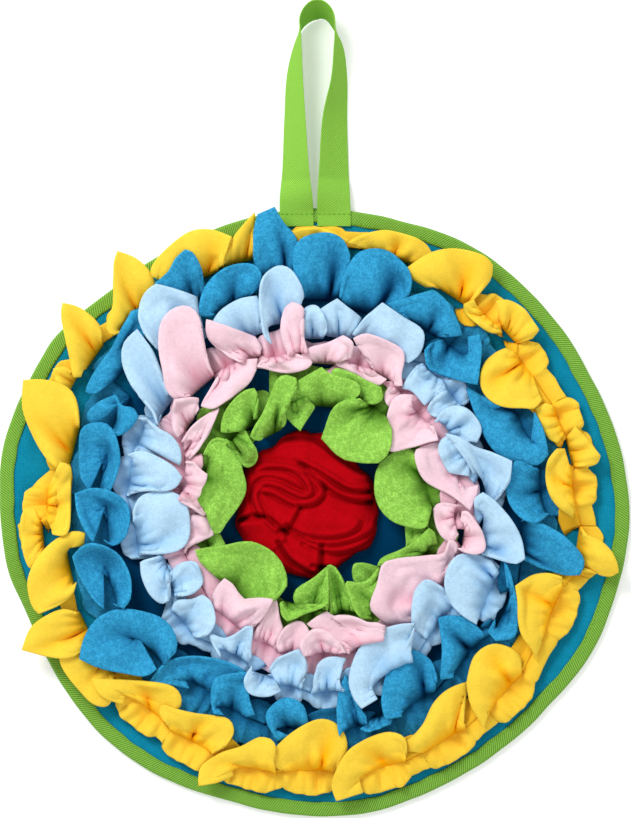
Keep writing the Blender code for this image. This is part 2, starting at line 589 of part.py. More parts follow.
def build_rings():
    """The petal rings: one fleece strip each, its frill flat and its petals laid in order."""
    petals = [petal for ring in RINGS for petal in ring.petals]
    widths = np.concatenate([root_widths(ring.petals) for ring in RINGS])
    grids = []
    for petal, width in zip(petals, widths):
        plan = petal_plan(petal, width, PETAL_COLUMNS, PETAL_ROWS)
        base = seam_height(plan[:, :1])
        height = petal_height(petal, PETAL_COLUMNS, PETAL_ROWS) + base
        grids.append(np.concatenate([plan, height[..., None]], axis=2))
    heights = HeightMap()
    lay_ground(heights)
    for index in laying_order(grids, petals):
        grids[index] = lay(grids[index], heights)
        heights.add(dense(grids[index], 65, 97, side=1)[0])
    first = 0
    for ring in RINGS:
        last = first + len(ring.petals)
        build_ring(ring, grids[first:last])
        first = last


def lay_ground(heights):
    """Enter the rosette, the binding, the loop's ends and the frills in the height map."""
    rosette = dense(rosette_surface(), 200, 500)[0]
    heights.add(rosette - (0.0, 0.0, FLEECE_THICKNESS / 2))
    clock = np.arange(0, 360, 0.25)
    edge = rim_radius(clock)
    top = RIM_RISE + CLOTH_THICKNESS + SEAT_GAP + TAPE_THICKNESS - FLEECE_THICKNESS / 2
    for inset in np.arange(0, BINDING_COVER, 1.0):
        heights.add(np.column_stack([place(clock, edge - inset), np.full(len(clock), top)]))
    for row in (LOOP[0], LOOP[-1]):
        x, y = np.meshgrid(np.arange(-11.5, 12, 0.75) + row.x, np.arange(208, 240, 0.75))
        heights.add(np.stack([x, y, np.full(x.shape, LOOP_REST_HEIGHT)], axis=-1))
    for ring in RINGS:
        seam, outer = ring_seam(ring)
        count = len(PETAL_COLUMNS)
        for start in range(0, len(seam), count):
            grid = np.stack([seam[start:start + count], outer[start:start + count]], axis=1)
            heights.add(dense(grid, 33, 17, side=1)[0])


def build_ring(ring, grids):
    """One ring's strip: frill, seam and petals share their points, then get their wall."""
    seam, outer = ring_seam(ring)
    count, columns = len(seam), len(PETAL_COLUMNS)
    points = [outer, seam]
    faces = grid_faces(count, 2, 0, wrap=True)
    start = 2 * count
    for number, grid in enumerate(grids):
        first = count + number * columns
        rows = grid.transpose(1, 0, 2)[1:]
        points.append(rows.reshape(-1, 3))
        faces += [(first + c, first + c + 1, start + c + 1, start + c)
                  for c in range(columns - 1)]
        faces += grid_faces(columns, len(rows), start)
        start += rows.shape[0] * columns
    new_object(ring.node, np.vstack(points), faces, ring.colour, 0.95, FLEECE_THICKNESS)


def line_distance(points, line):
    """Shortest distance in plan from each point to a line of straight stretches."""
    line = np.asarray(line, dtype=float)
    start, step = line[:-1], line[1:] - line[:-1]
    offset = points[..., None, :] - start
    share = np.clip((offset * step).sum(-1) / (step ** 2).sum(-1), 0.0, 1.0)
    return np.linalg.norm(offset - share[..., None] * step, axis=-1).min(axis=-1)


def rosette_folds():
    """Every fold of the rosette: those of the table and the edges of its coiled layers."""
    clock = np.linspace(*COIL_SWEEP, 12)
    coil = [Fold(COIL_HEIGHT, COIL_MIDDLE + place(clock, np.full(12, radius)))
            for radius in COIL_RADII]
    return list(FOLDS) + coil


def rosette_surface():
    """Top of the rosette, rings x sides x 3, from its edge to near its middle."""
    share = np.linspace(1.0, 0.06, ROSETTE_RINGS)[:, None]
    reach = catmull_rom([(r, r) for r in ROSETTE_REACH], ROSETTE_SIDES, closed=True)[:, 0]
    clock = np.arange(ROSETTE_SIDES) * 360.0 / ROSETTE_SIDES
    plan = ROSETTE_MIDDLE + place(clock, share * reach)
    rise = ROSETTE_EDGE + (ROSETTE_CROWN - ROSETTE_EDGE) * np.sqrt(1 - share ** 2)
    inside = smooth_step((1 - share) / 0.12)
    relief = np.max([fold.height * np.exp(-(line_distance(plan, fold.line) / FOLD_WIDTH) ** 2)
                     for fold in rosette_folds()], axis=0)
    height = CLOTH_THICKNESS + STRIP_SEAT + rise + relief * inside
    return np.concatenate([plan, height[..., None]], axis=2)


def build_rosette():
    """Rosette: gathered fleece layers as one mound, with its folds raised on it."""
    top = rosette_surface()
    foot = top[0].copy()
    foot[:, 2] = CLOTH_THICKNESS + STRIP_SEAT
    rings = np.vstack([foot, top.reshape(-1, 3)])
    faces = grid_faces(ROSETTE_SIDES, ROSETTE_RINGS + 1, 0, wrap=True)
    faces.append(tuple(range(ROSETTE_SIDES)))
    last = ROSETTE_RINGS * ROSETTE_SIDES
    faces.append(tuple(range(last + ROSETTE_SIDES - 1, last - 1, -1)))
    rosette = new_object("rosette_red", rings, faces, ROSETTE_COLOUR, 0.95)
    weld(rosette)


def main():
    """Clear the scene and model the mat."""
    for obj in list(bpy.data.objects):
        bpy.data.objects.remove(obj, do_unlink=True)
    parts = bpy.data.collections.new(OBJECT_NAME)
    bpy.context.scene.collection.children.link(parts)
    build_base()
    build_binding()
    build_loop()
    build_rings()
    build_rosette()


main()
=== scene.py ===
"""Dressed model of the round fleece snuffle mat, laid out as a Blender add-on.

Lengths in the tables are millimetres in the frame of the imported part: origin on the underside
of the cloth at the middle of the mat, +Z up, +Y to the hanging loop. A place on the mat is a
clock angle, in degrees from the loop clockwise seen from above, and a radius.
"""
import math
from typing import NamedTuple

import bmesh
import bpy
import numpy as np
from bpy.props import FloatProperty, FloatVectorProperty, PointerProperty
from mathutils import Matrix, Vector


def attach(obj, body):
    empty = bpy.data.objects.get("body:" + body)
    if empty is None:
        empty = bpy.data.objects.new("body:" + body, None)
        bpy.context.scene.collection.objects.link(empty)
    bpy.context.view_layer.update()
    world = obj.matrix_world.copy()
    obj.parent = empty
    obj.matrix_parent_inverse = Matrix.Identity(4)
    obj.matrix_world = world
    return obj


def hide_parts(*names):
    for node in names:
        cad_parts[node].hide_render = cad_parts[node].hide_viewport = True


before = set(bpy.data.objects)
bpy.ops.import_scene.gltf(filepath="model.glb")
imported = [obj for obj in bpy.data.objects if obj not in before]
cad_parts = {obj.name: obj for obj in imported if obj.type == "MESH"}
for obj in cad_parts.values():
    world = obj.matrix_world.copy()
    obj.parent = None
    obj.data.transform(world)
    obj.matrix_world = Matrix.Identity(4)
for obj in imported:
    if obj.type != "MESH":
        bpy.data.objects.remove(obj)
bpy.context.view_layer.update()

bl_info = {
    "name": "Fleece Snuffle Mat",
    "version": (1, 0, 0),
    "blender": (4, 5, 0),
    "location": "View3D > Sidebar > Snuffle Mat",
    "description": "Makes a round fleece snuffle mat: bound cloth, loop, petal rings, rosette",
    "category": "Object",
}

MM = 0.001
SEED = 17

CLOTH_THICKNESS = 2.5
SEAT_GAP = 0.3            # between pieces that touch
TAPE_THICKNESS = 1.0
BINDING_COVER = 11.0      # how far the binding reaches in from the edge
CLOTH_INSET = 2.2         # of the cloth's edge inside the folded tape
RIM_RISE = TAPE_THICKNESS + SEAT_GAP
BINDING_TOP = RIM_RISE + CLOTH_THICKNESS + SEAT_GAP + TAPE_THICKNESS
MEAN_RIM = 222.0          # radius by which the tape's length is counted
BINDING_CROWN = 0.25      # rise of the folded tape's upper layer at its middle
NOSE_INSET = 0.5          # of the fold's outermost line from the edge
NOSE_LENGTH = 1.9         # of the fold's round part, across the tape
NOSE_START = 3.4          # inset at which the two layers begin to close round
EDGE_WANDER = 0.3
SELVEDGE_WANDER = 0.35
PUCKER = 0.16             # height of the binding's puckers
STITCH_SHARE = 0.74       # of a stitch's length that its thread takes up
STITCH_RISE = 0.30        # of its middle over its holes
STITCH_SINK = 0.12        # of its holes
THREAD_RADIUS = 0.30
SEAM_COUNT_RADIUS = 213   # at which the binding's stitches are counted off
SEAM_INSET = 2.0          # of the seam from the binding's inner edge
SEAM_WANDER = 0.25
RAMP_START = 25.0         # from the edge, where the cloth begins to rise on to the tape
RAMP_END = 13.5
SHADE_START = 42.0        # from the edge, where the cloth's painted shade begins
SHADE_SPAN = 34.0
SWELL = 0.35              # height of the ground cloth's slow swells
SWELL_LIMIT = 0.45
SWELL_SINK = 0.1          # of its upper face, which makes up for them

BINDING_GAP = 1.5         # from a frill's edge to the binding
STRIP_SEAT = 0.5          # of each sewn strip over the cloth
FRILL_RISE = 3.0          # of the frill's edge over its seam
FRILL_GAP = 4.0           # from a frill's edge to the next ring's seam
PLEAT = 2.0               # height of the gathered frill's pleats
PLEAT_WIDTH = 17.0        # along the frill's edge
RUFFLE_WIDTH = 23.0
RUFFLE_REACH = 0.7        # outwards, of the waves along the frill's edge
RUFFLE_RISE = 2.4
FRILL_HUMP = 1.2          # between the frill's edge and its seam
FURROW = 7.0              # by which a petal's crease runs on into the frill
CLOSING = 12.0            # over which waves die away where a ring closes
FRILL_NOTCH = 5.0         # by which it is drawn in between two petals
FRILL_LEAST = 5.0         # that it reaches outside its seam
ROOT_SHARE = 0.92         # of the way to its neighbours that a petal's root takes up
ROOT_LIMITS = (10.0, 36.0)
COLLAR_HEIGHT = 8.0       # that an outward petal stands up before it spreads
TONGUE_REACH = 16.0       # inwards of the cloth between two roots
TONGUE_SPREAD = 7.0       # of its end past the gap, to each side
TONGUE_HUMP = 1.6
# painted shade of the tongues between the roots, from 0 to 1
TONGUE_SHADE = 0.55
PINCH_DEPTH = 6.0         # of the gathered crease in an inward petal's root
PINCH_WIDTH = 0.42        # of that crease, as a share of half the root
EDGE_RISE = 0.8           # of the rises in the petals' tables that is used
GATHER = 1.3              # height of the gathers at a petal's root
CREASE = 1.45             # of the depths in the petals' tables that is used
EDGE_WAVE = 1.7           # height of the waves along a petal's free edge
PETAL_REACH = 110.0       # within which one petal can cover another's root
LAY_CLEARANCE = 0.5       # between a petal and those it lies on
CELL = 1.25               # of the height map that the petals are laid over
MAP_HALF = 255.0
MAP_EMPTY = -50.0

LOOP_SEAM = 218.0         # middle of the mat to the stitches across the feet
LOOP_REST_HEIGHT = 5.9    # middle of the tape where it lies on the binding
LOOP_CUP = 0.5            # rise of the tape's middle over its selvedges
LOOP_LANDING = (228.0, 262.0)   # stretch in which the tape comes down to the floor


class Rim(NamedTuple):
    """Clock angle and radius of the edge of the mat."""
    at: float
    radius: float


RIM = (
    Rim(0, 222), Rim(15, 222), Rim(30, 226), Rim(60, 225), Rim(90, 230), Rim(115, 227),
    Rim(132, 221), Rim(150, 219.5), Rim(172, 222), Rim(195, 219), Rim(220, 224),
    Rim(248, 221.5), Rim(262, 227.5), Rim(282, 231.5), Rim(302, 228.5), Rim(320, 219.5),
    Rim(335, 219),
)


class LoopRow(NamedTuple):
    """Middle of the loop's tape, and its turn from flat; past 90 its far face shows."""
    x: float
    y: float
    twist: float


LOOP = (
    LoopRow(-12.4, 209, 0), LoopRow(-12.5, 218, 0), LoopRow(-13.0, 228, 12),
    LoopRow(-13.3, 250, 37), LoopRow(-13.9, 286, 51), LoopRow(-13.9, 320, 63),
    LoopRow(-10.8, 347, 84), LoopRow(-6.6, 360, 108), LoopRow(2.0, 366.5, 122),
    LoopRow(10.4, 363, 108), LoopRow(14.8, 353, 92), LoopRow(18.0, 338, 73),
    LoopRow(18.3, 315, 61), LoopRow(15.1, 286, 42), LoopRow(14.4, 250, 28),
    LoopRow(14.3, 228, 10), LoopRow(14.6, 218, 0), LoopRow(14.7, 209, 0),
)


class Edge(NamedTuple):
    """A place on a petal's free edge, its rise over the root, and 1 if it is a corner."""
    clock: float
    radius: float
    rise: float
    corner: int = 0


class Petal(NamedTuple):
    """One petal, as its gathered root and its free edge.

    at, out: clock angle and radius of the middle of the root. dome: how far its middle stands
    above the straight lines from root to edge, below 0 for a cup. fold: place of its crease
    from the root, from -1 at the side of the lower clock angle to 1. depth: of that crease,
    below 0 for a ridge. order: a higher one lies over its neighbours. edge: Edge rows.
    """
    at: float
    out: float
    dome: float
    fold: float
    depth: float
    order: int
    edge: tuple


YELLOW = (
    Petal(1, 194, 2, 0, 2, 0, ((354, 203, 4), (357, 207, 6), (1, 207.5, 6), (4, 205, 5),
        (7.5, 200, 3))),
    Petal(16.5, 195, 3, 0.1, 5, 0, ((7, 198, 3), (9.5, 205, 6), (14, 212, 9), (19, 213.5, 10),
        (22.5, 212, 8), (25, 206, 5))),
    Petal(33, 188, 7, 0.35, 7, 1, ((26.5, 183.5, 5), (22, 186, 8), (20.5, 190, 10, 1),
        (24, 207, 14), (28, 218, 14), (33, 224, 12), (35.6, 222.5, 9, 1), (36.8, 214, 7),
        (36.6, 202, 5))),
    Petal(41.5, 190, 5, -0.3, 5, 1, ((36.8, 194, 5), (35.5, 187, 9, 1), (37, 182, 10),
        (41, 181.5, 10), (44.5, 184, 7), (46, 190, 4))),
    Petal(47.5, 193, 4, -0.3, 3, 1, ((40.5, 203, 7), (42.5, 210, 10), (46, 213, 10),
        (50.7, 211, 8, 1), (51.2, 203, 4))),
    Petal(54.5, 187, 8, -0.15, 7, 2, ((49.3, 184, 6), (48.5, 175, 8), (48.7, 165, 9),
        (50.5, 156, 10), (54, 151, 11), (58, 152.5, 11), (61, 159, 11), (63.3, 170, 10),
        (64.5, 177, 8), (63.5, 185, 5))),
    Petal(69, 190, 5, -0.3, 5, 1, ((64.6, 187, 5), (64.5, 178, 9, 1), (68, 176.8, 10),
        (72, 178.5, 9), (74, 184, 5))),
    Petal(76.5, 192, 5, 0, 3, 2, ((71.5, 200, 6), (75, 206, 9), (78.5, 212, 11, 1), (79.8, 209, 8),
        (80, 203, 4))),
    Petal(84.5, 189, 7, -0.1, 6, 2, ((75.5, 188, 5), (75, 182, 8, 1), (77, 174, 10),
        (80, 170.5, 11), (83.5, 170, 11), (86.5, 173, 10), (89, 179, 9), (91, 188, 5))),
    Petal(98, 194, 6, 0.6, 3, 2, ((95.7, 196, 4), (95.3, 206, 8), (96.7, 215, 11), (99, 222, 13),
        (100.8, 225, 13, 1), (101.9, 220, 9), (101.8, 210, 6), (101.3, 200, 4))),
    Petal(112, 187, 7, -0.15, 6, 2, ((104.3, 186, 5), (104.2, 176, 8), (105.5, 166, 9),
        (107.5, 159.5, 10), (109.7, 155, 10, 1), (113, 160, 11), (117.5, 166.5, 12),
        (120.5, 175, 12), (122, 186, 9), (123.5, 193, 5))),
    Petal(133, 190, 7, -0.35, 7, 2, ((125.3, 184, 4), (124.3, 176, 7), (125, 165, 9),
        (127.3, 158, 10), (131, 155.5, 11), (134.5, 158.5, 12), (138, 165, 12, 1),
        (140.5, 178, 11), (141.3, 190, 9), (141.5, 199, 6, 1))),
    Petal(150, 190, 7, -0.4, 6, 1, ((145, 186, 4), (141, 174, 7), (137.7, 165, 10, 1),
        (140.5, 161.5, 11), (144, 160.3, 11), (148, 163, 11), (152, 171, 10), (155.5, 176, 9),
        (158, 178, 8, 1), (158.5, 186, 4))),
    Petal(165, 191, 7, -0.2, 5, 2, ((159, 186, 5), (158, 175, 8), (160.5, 168, 10),
        (164.5, 166.8, 11), (168.5, 169, 11), (172, 174, 11), (175, 186, 11), (176.3, 198, 10),
        (175.6, 209.5, 9, 1), (170, 206, 5))),
    Petal(181, 187, 7, -0.4, 8, 1, ((174.5, 185, 4), (172, 172, 8), (172.3, 160, 10),
        (174.5, 152, 11), (178, 149, 12), (182, 152, 12), (186, 160, 12), (189, 170, 12),
        (191.5, 182.5, 11, 1), (187.5, 187, 5))),
    Petal(193.5, 190, 5, 0.2, 3, 2, ((190.5, 183, 5), (189.3, 171, 9), (191, 166, 10, 1),
        (194, 167, 11), (197.5, 177, 11), (201.5, 187, 11), (204, 200, 11), (203.8, 208, 11),
        (203, 214.5, 11, 1), (200, 208, 9), (197, 199, 5))),
    Petal(208, 188, 6, 0.1, 6, 1, ((203.5, 187, 4), (201, 181, 8), (200, 171, 10), (201, 164, 11),
        (203, 161.3, 11), (206.5, 163.5, 12), (210.5, 168, 12), (215, 173, 12), (218.5, 177, 9),
        (217.5, 184, 5))),
    Petal(221, 186, 5, -0.2, 5, 2, ((216.5, 180, 4), (214.8, 171, 8), (216, 164, 10),
        (218.8, 161.5, 11), (222, 165, 11), (225.5, 173, 11), (228.5, 182, 11), (231, 191, 11),
        (233.5, 201, 11, 1), (229.5, 203.5, 10), (225, 196, 5))),
    Petal(235, 187, 4, 0, 3, 0, ((229, 190, 3), (227, 204, 6), (229, 211.5, 8), (233, 213.5, 9),
        (238, 214.5, 9), (241, 211, 7), (241, 200, 4))),
    Petal(243.5, 186, 6, -0.2, 4, 2, ((239.5, 190, 5), (239.5, 205, 9), (241.5, 218, 12),
        (245, 234, 13, 1), (248, 222, 12), (249.2, 208, 11), (249, 195, 9), (247, 187, 6))),
    Petal(257.5, 183, 8, 0, 2, 2, ((254, 179.5, 6), (251.5, 185, 9), (250.3, 197, 11),
        (250, 212.5, 12, 1), (252, 215.2, 12), (255.5, 214.5, 13), (258, 211, 13), (261, 203, 14),
        (264, 190, 14), (265.8, 176, 13), (265.3, 166.5, 12, 1), (262, 169, 8))),
    Petal(265.5, 199, 2, 0, 2, 0, ((260, 203, 3), (259, 210, 5), (262, 213, 6), (267, 213.5, 6),
        (270.5, 211, 5), (271, 203, 3))),
    Petal(272, 194, 5, -0.1, 4, 1, ((265.5, 190, 5), (265, 181, 9), (267, 177, 10),
        (272, 176.5, 10), (277, 177.5, 10), (281, 180, 9), (281.5, 188, 5))),
    Petal(285, 182, 8, -0.2, 4, 2, ((281, 183, 6), (280.5, 192, 8), (283, 203, 9), (286, 213, 11),
        (290, 225, 13), (294.7, 232, 14, 1), (296.3, 220, 13), (297.2, 207, 12), (296.8, 197, 11),
        (294.5, 189, 9), (290, 181.5, 6))),
    Petal(298.5, 200, 3, 0, 2, 0, ((297, 204, 5), (297.3, 211, 8), (299, 216.5, 9, 1),
        (300.2, 211, 8), (299.8, 204, 5))),
    Petal(305.5, 197, 6, 0.2, 4, 1, ((300.5, 196, 6), (299.5, 201, 10, 1), (302.5, 210, 12),
        (305.5, 222, 13), (308.2, 233, 14), (310, 238, 14, 1), (311.3, 227, 12), (311.5, 214, 10),
        (310.8, 203, 7))),
    Petal(318, 193, 6, 0.1, 4, 2, ((313.5, 191.5, 6), (311.3, 197, 9), (312.5, 204, 11),
        (316, 210, 12), (319, 222, 13), (321.5, 233, 14), (323.2, 238, 14, 1), (325, 227, 12),
        (325.8, 214, 10), (325.3, 204, 7))),
    Petal(334, 190, 7, 0.4, 5, 1, ((328, 203, 6), (325.7, 208, 9), (327, 215, 11), (331, 220, 13),
        (336, 223.5, 14), (340, 219.5, 13), (343.5, 209.5, 11, 1), (341.5, 200, 8),
        (340, 192, 5))),
    Petal(344, 191, 5, 0.2, 4, 2, ((341, 193, 6), (341, 197, 9), (344, 209, 11), (347, 218, 12),
        (348.8, 222.5, 12, 1), (348, 212, 9), (347.3, 200, 7), (346.9, 194, 4))),
)

BLUE = (
    Petal(2, 156, 6, 0.35, 9, 2, ((356.7, 157, 4), (355.5, 170, 8), (355.5, 190, 12),
        (357.5, 200, 13), (2, 204.3, 13), (5.5, 201.5, 11), (7.5, 193, 9), (8.2, 184, 7),
        (7.6, 168, 5))),
    Petal(15, 152, 7, 0.4, 10, 1, ((6.7, 158, 4), (7, 172, 7), (8.3, 185, 10), (10, 193, 12),
        (13, 197.5, 13), (16, 198, 13), (18.5, 195, 11), (21.5, 189, 9), (23.2, 180, 7),
        (23.3, 167, 5))),
    Petal(31, 157, 6, 0.2, 3, 2, ((24.5, 157.5, 4), (19.2, 161.5, 8, 1), (23, 170, 10),
        (27, 181, 12), (28.7, 184, 12), (33, 181, 11), (37, 174, 9), (39.7, 168.5, 8, 1),
        (37, 163, 5))),
    Petal(41, 157, 5, -0.5, 6, 1, ((34.5, 150, 5), (34, 143, 8, 1), (36, 137, 9),
        (38.5, 133.5, 10, 1), (43, 137, 10), (48, 143.5, 10), (51.8, 151, 10, 1), (48.5, 161, 10),
        (45.5, 171, 10), (42.7, 177.5, 10, 1), (41, 170, 6))),
    Petal(67, 164, 8, -0.6, 6, 1, ((60, 151, 4), (55, 146, 6), (50.5, 143, 8, 1), (55, 139, 9),
        (60, 136.5, 10), (67, 136, 11), (72, 140, 11), (76, 152, 11), (77.8, 166, 10),
        (76, 175.5, 9, 1), (70, 177, 8), (65, 176, 5))),
    Petal(84.5, 166, 6, 0, 3, 1, ((77, 158, 4), (75.3, 151, 7), (77.5, 144, 9), (81, 140.5, 10),
        (85, 140.5, 10), (88.5, 143.5, 10), (91.5, 151, 9), (92.3, 161, 8), (90, 171, 5))),
    Petal(96.5, 153, 6, 0.6, 7, 2, ((92.3, 150.5, 5), (91.4, 153, 8, 1), (93, 168, 11),
        (95.5, 184, 13), (98.5, 196, 14), (100.5, 199.5, 14), (103, 198, 12, 1), (103.8, 188, 8),
        (103.5, 172, 5), (102, 158, 3))),
    Petal(117, 157, 4, 0.1, 4, 2, ((111, 150, 5), (103.8, 142.5, 10, 1), (108, 151, 12),
        (113, 160, 13), (118, 168, 13), (121.8, 170.7, 13), (125, 161, 11, 1),
        (124.3, 152.5, 8, 1), (120, 152, 5))),
    Petal(132, 152, 6, -0.1, 6, 1, ((125.5, 148, 5), (124.3, 135, 7), (126.5, 124, 8),
        (130, 117.5, 9, 1), (133, 125, 10), (136.5, 135, 11), (142.7, 151, 12, 1),
        (139.5, 156.5, 8))),
    Petal(151, 156, 7, -0.45, 8, 1, ((143.5, 150, 4), (141.5, 138, 6), (143, 125, 7),
        (146, 119, 9), (149.5, 118.8, 10), (154, 124, 11), (158, 134, 12), (160.5, 146, 12),
        (161, 157.5, 12, 1), (156.5, 160.5, 7))),
    Petal(162, 156, 2, 0, 2, 0, ((159, 158, 4), (160, 163, 6, 1), (166, 163.5, 6), (168, 160, 4))),
    Petal(169, 158, 4, -0.3, 4, 2, ((165.5, 152, 6), (167, 144, 8), (167.7, 130, 9),
        (168.7, 119, 10, 1), (171.5, 126, 10), (173.2, 140, 10), (173.7, 155, 9),
        (173.5, 163, 7, 1))),
    Petal(186.5, 157, 6, 0, 3, 1, ((183.3, 154, 4), (182.5, 146, 7), (184, 138, 8), (188, 135, 9),
        (191.3, 139, 10), (193.5, 149, 10), (192, 158, 9), (189, 167.5, 9, 1), (185.5, 163, 4))),
    Petal(203, 155, 4, 0, 2, 2, ((199.5, 154.5, 5), (196.3, 152, 8, 1), (198.7, 144, 9),
        (200.5, 136, 10), (202.5, 124, 10, 1), (207, 129.5, 11), (210.5, 137, 11),
        (210.8, 144, 11), (209, 154, 10), (206.7, 162.5, 9, 1), (204, 160, 5))),
    Petal(214, 150, -3, 0.2, 2, 1, ((210, 148, 5), (207, 135, 6), (203.5, 124.5, 9, 1),
        (209, 124, 11), (215, 128, 12), (220.5, 136, 13), (224.5, 149, 13), (225, 161, 12),
        (224.3, 171, 11, 1), (220, 163, 8), (215.5, 156, 4))),
    Petal(231, 154, 6, 0, 4, 2, ((227, 151, 6), (225, 147, 9), (225.5, 140, 10), (228, 134.5, 11),
        (232, 132, 12), (236, 134, 12), (240.5, 143, 13), (243.7, 155, 13), (244.6, 168, 13),
        (243.5, 181, 13), (241, 192, 12), (238.3, 200, 12, 1), (234, 191, 10), (229.5, 179, 8),
        (226, 170, 6), (225.3, 160, 5))),
    Petal(251, 156, -2, 0, 4, 1, ((246, 159.5, 8), (243.5, 154, 9, 1), (245, 147, 10),
        (249, 142, 11), (253, 141, 12), (258, 144.5, 12), (261, 152, 13), (262.5, 162, 13),
        (262, 170, 13), (260, 178, 12, 1), (255, 176.5, 10), (249, 172, 7), (245.5, 167, 5))),
    Petal(267, 150, -2, 0, 4, 2, ((263, 154, 7), (261, 147, 9), (263, 138, 10), (267, 134, 11),
        (271, 133.5, 12), (274.5, 139, 13), (276.5, 150, 13), (276.5, 163, 13),
        (274.8, 174, 12, 1), (270, 171.5, 10), (265, 165.5, 7), (262.5, 161, 5))),
    Petal(281, 156, -2, -0.2, 4, 1, ((276.5, 154, 7, 1), (275.3, 150, 9, 1), (280, 146.5, 11),
        (285, 146, 12), (289, 150, 12), (292.3, 157, 13), (293.5, 165, 13), (292, 175, 12),
        (289.5, 179.5, 11), (284, 176, 8), (279, 172, 6), (275.5, 164, 4))),
    Petal(296, 158, 5, 0.2, 4, 2, ((293, 158, 5), (292, 153, 8), (295, 147, 10),
        (299, 145.5, 11, 1), (300.3, 152, 9), (299.5, 160, 10), (301, 168, 10, 1),
        (297.5, 176, 10), (293.5, 180, 9), (291.5, 172, 6))),
    Petal(309, 174, 2, 0.2, 2, 0, ((299, 180, 4), (298, 188, 5), (303, 190, 6), (309, 190, 6),
        (314, 194, 7), (318, 198, 8, 1), (320, 194, 6), (319, 184, 4))),
    Petal(330, 174, 4, 0.1, 5, 1, ((327.5, 186, 5), (325.5, 198, 7), (325.2, 203, 9, 1),
        (329, 205, 10), (331.5, 210.5, 12), (334, 213, 12, 1), (335.2, 208, 11), (335.2, 197, 9),
        (334, 186, 5))),
    Petal(338, 162, 7, 0.2, 5, 2, ((333, 160.5, 5), (330, 166, 9, 1), (331.5, 174, 11),
        (334.5, 183, 12), (339, 189, 13), (343, 189.5, 13), (346.3, 186, 12), (347.6, 178, 10),
        (346, 168, 6))),
    Petal(351, 172, 5, 0.4, 7, 3, ((347.3, 180, 6), (347, 192, 10), (347.8, 208, 12),
        (349.3, 221, 13, 1), (352.7, 224.5, 14, 1), (354, 213, 11), (356.3, 200, 9),
        (355.5, 186, 5))),
)

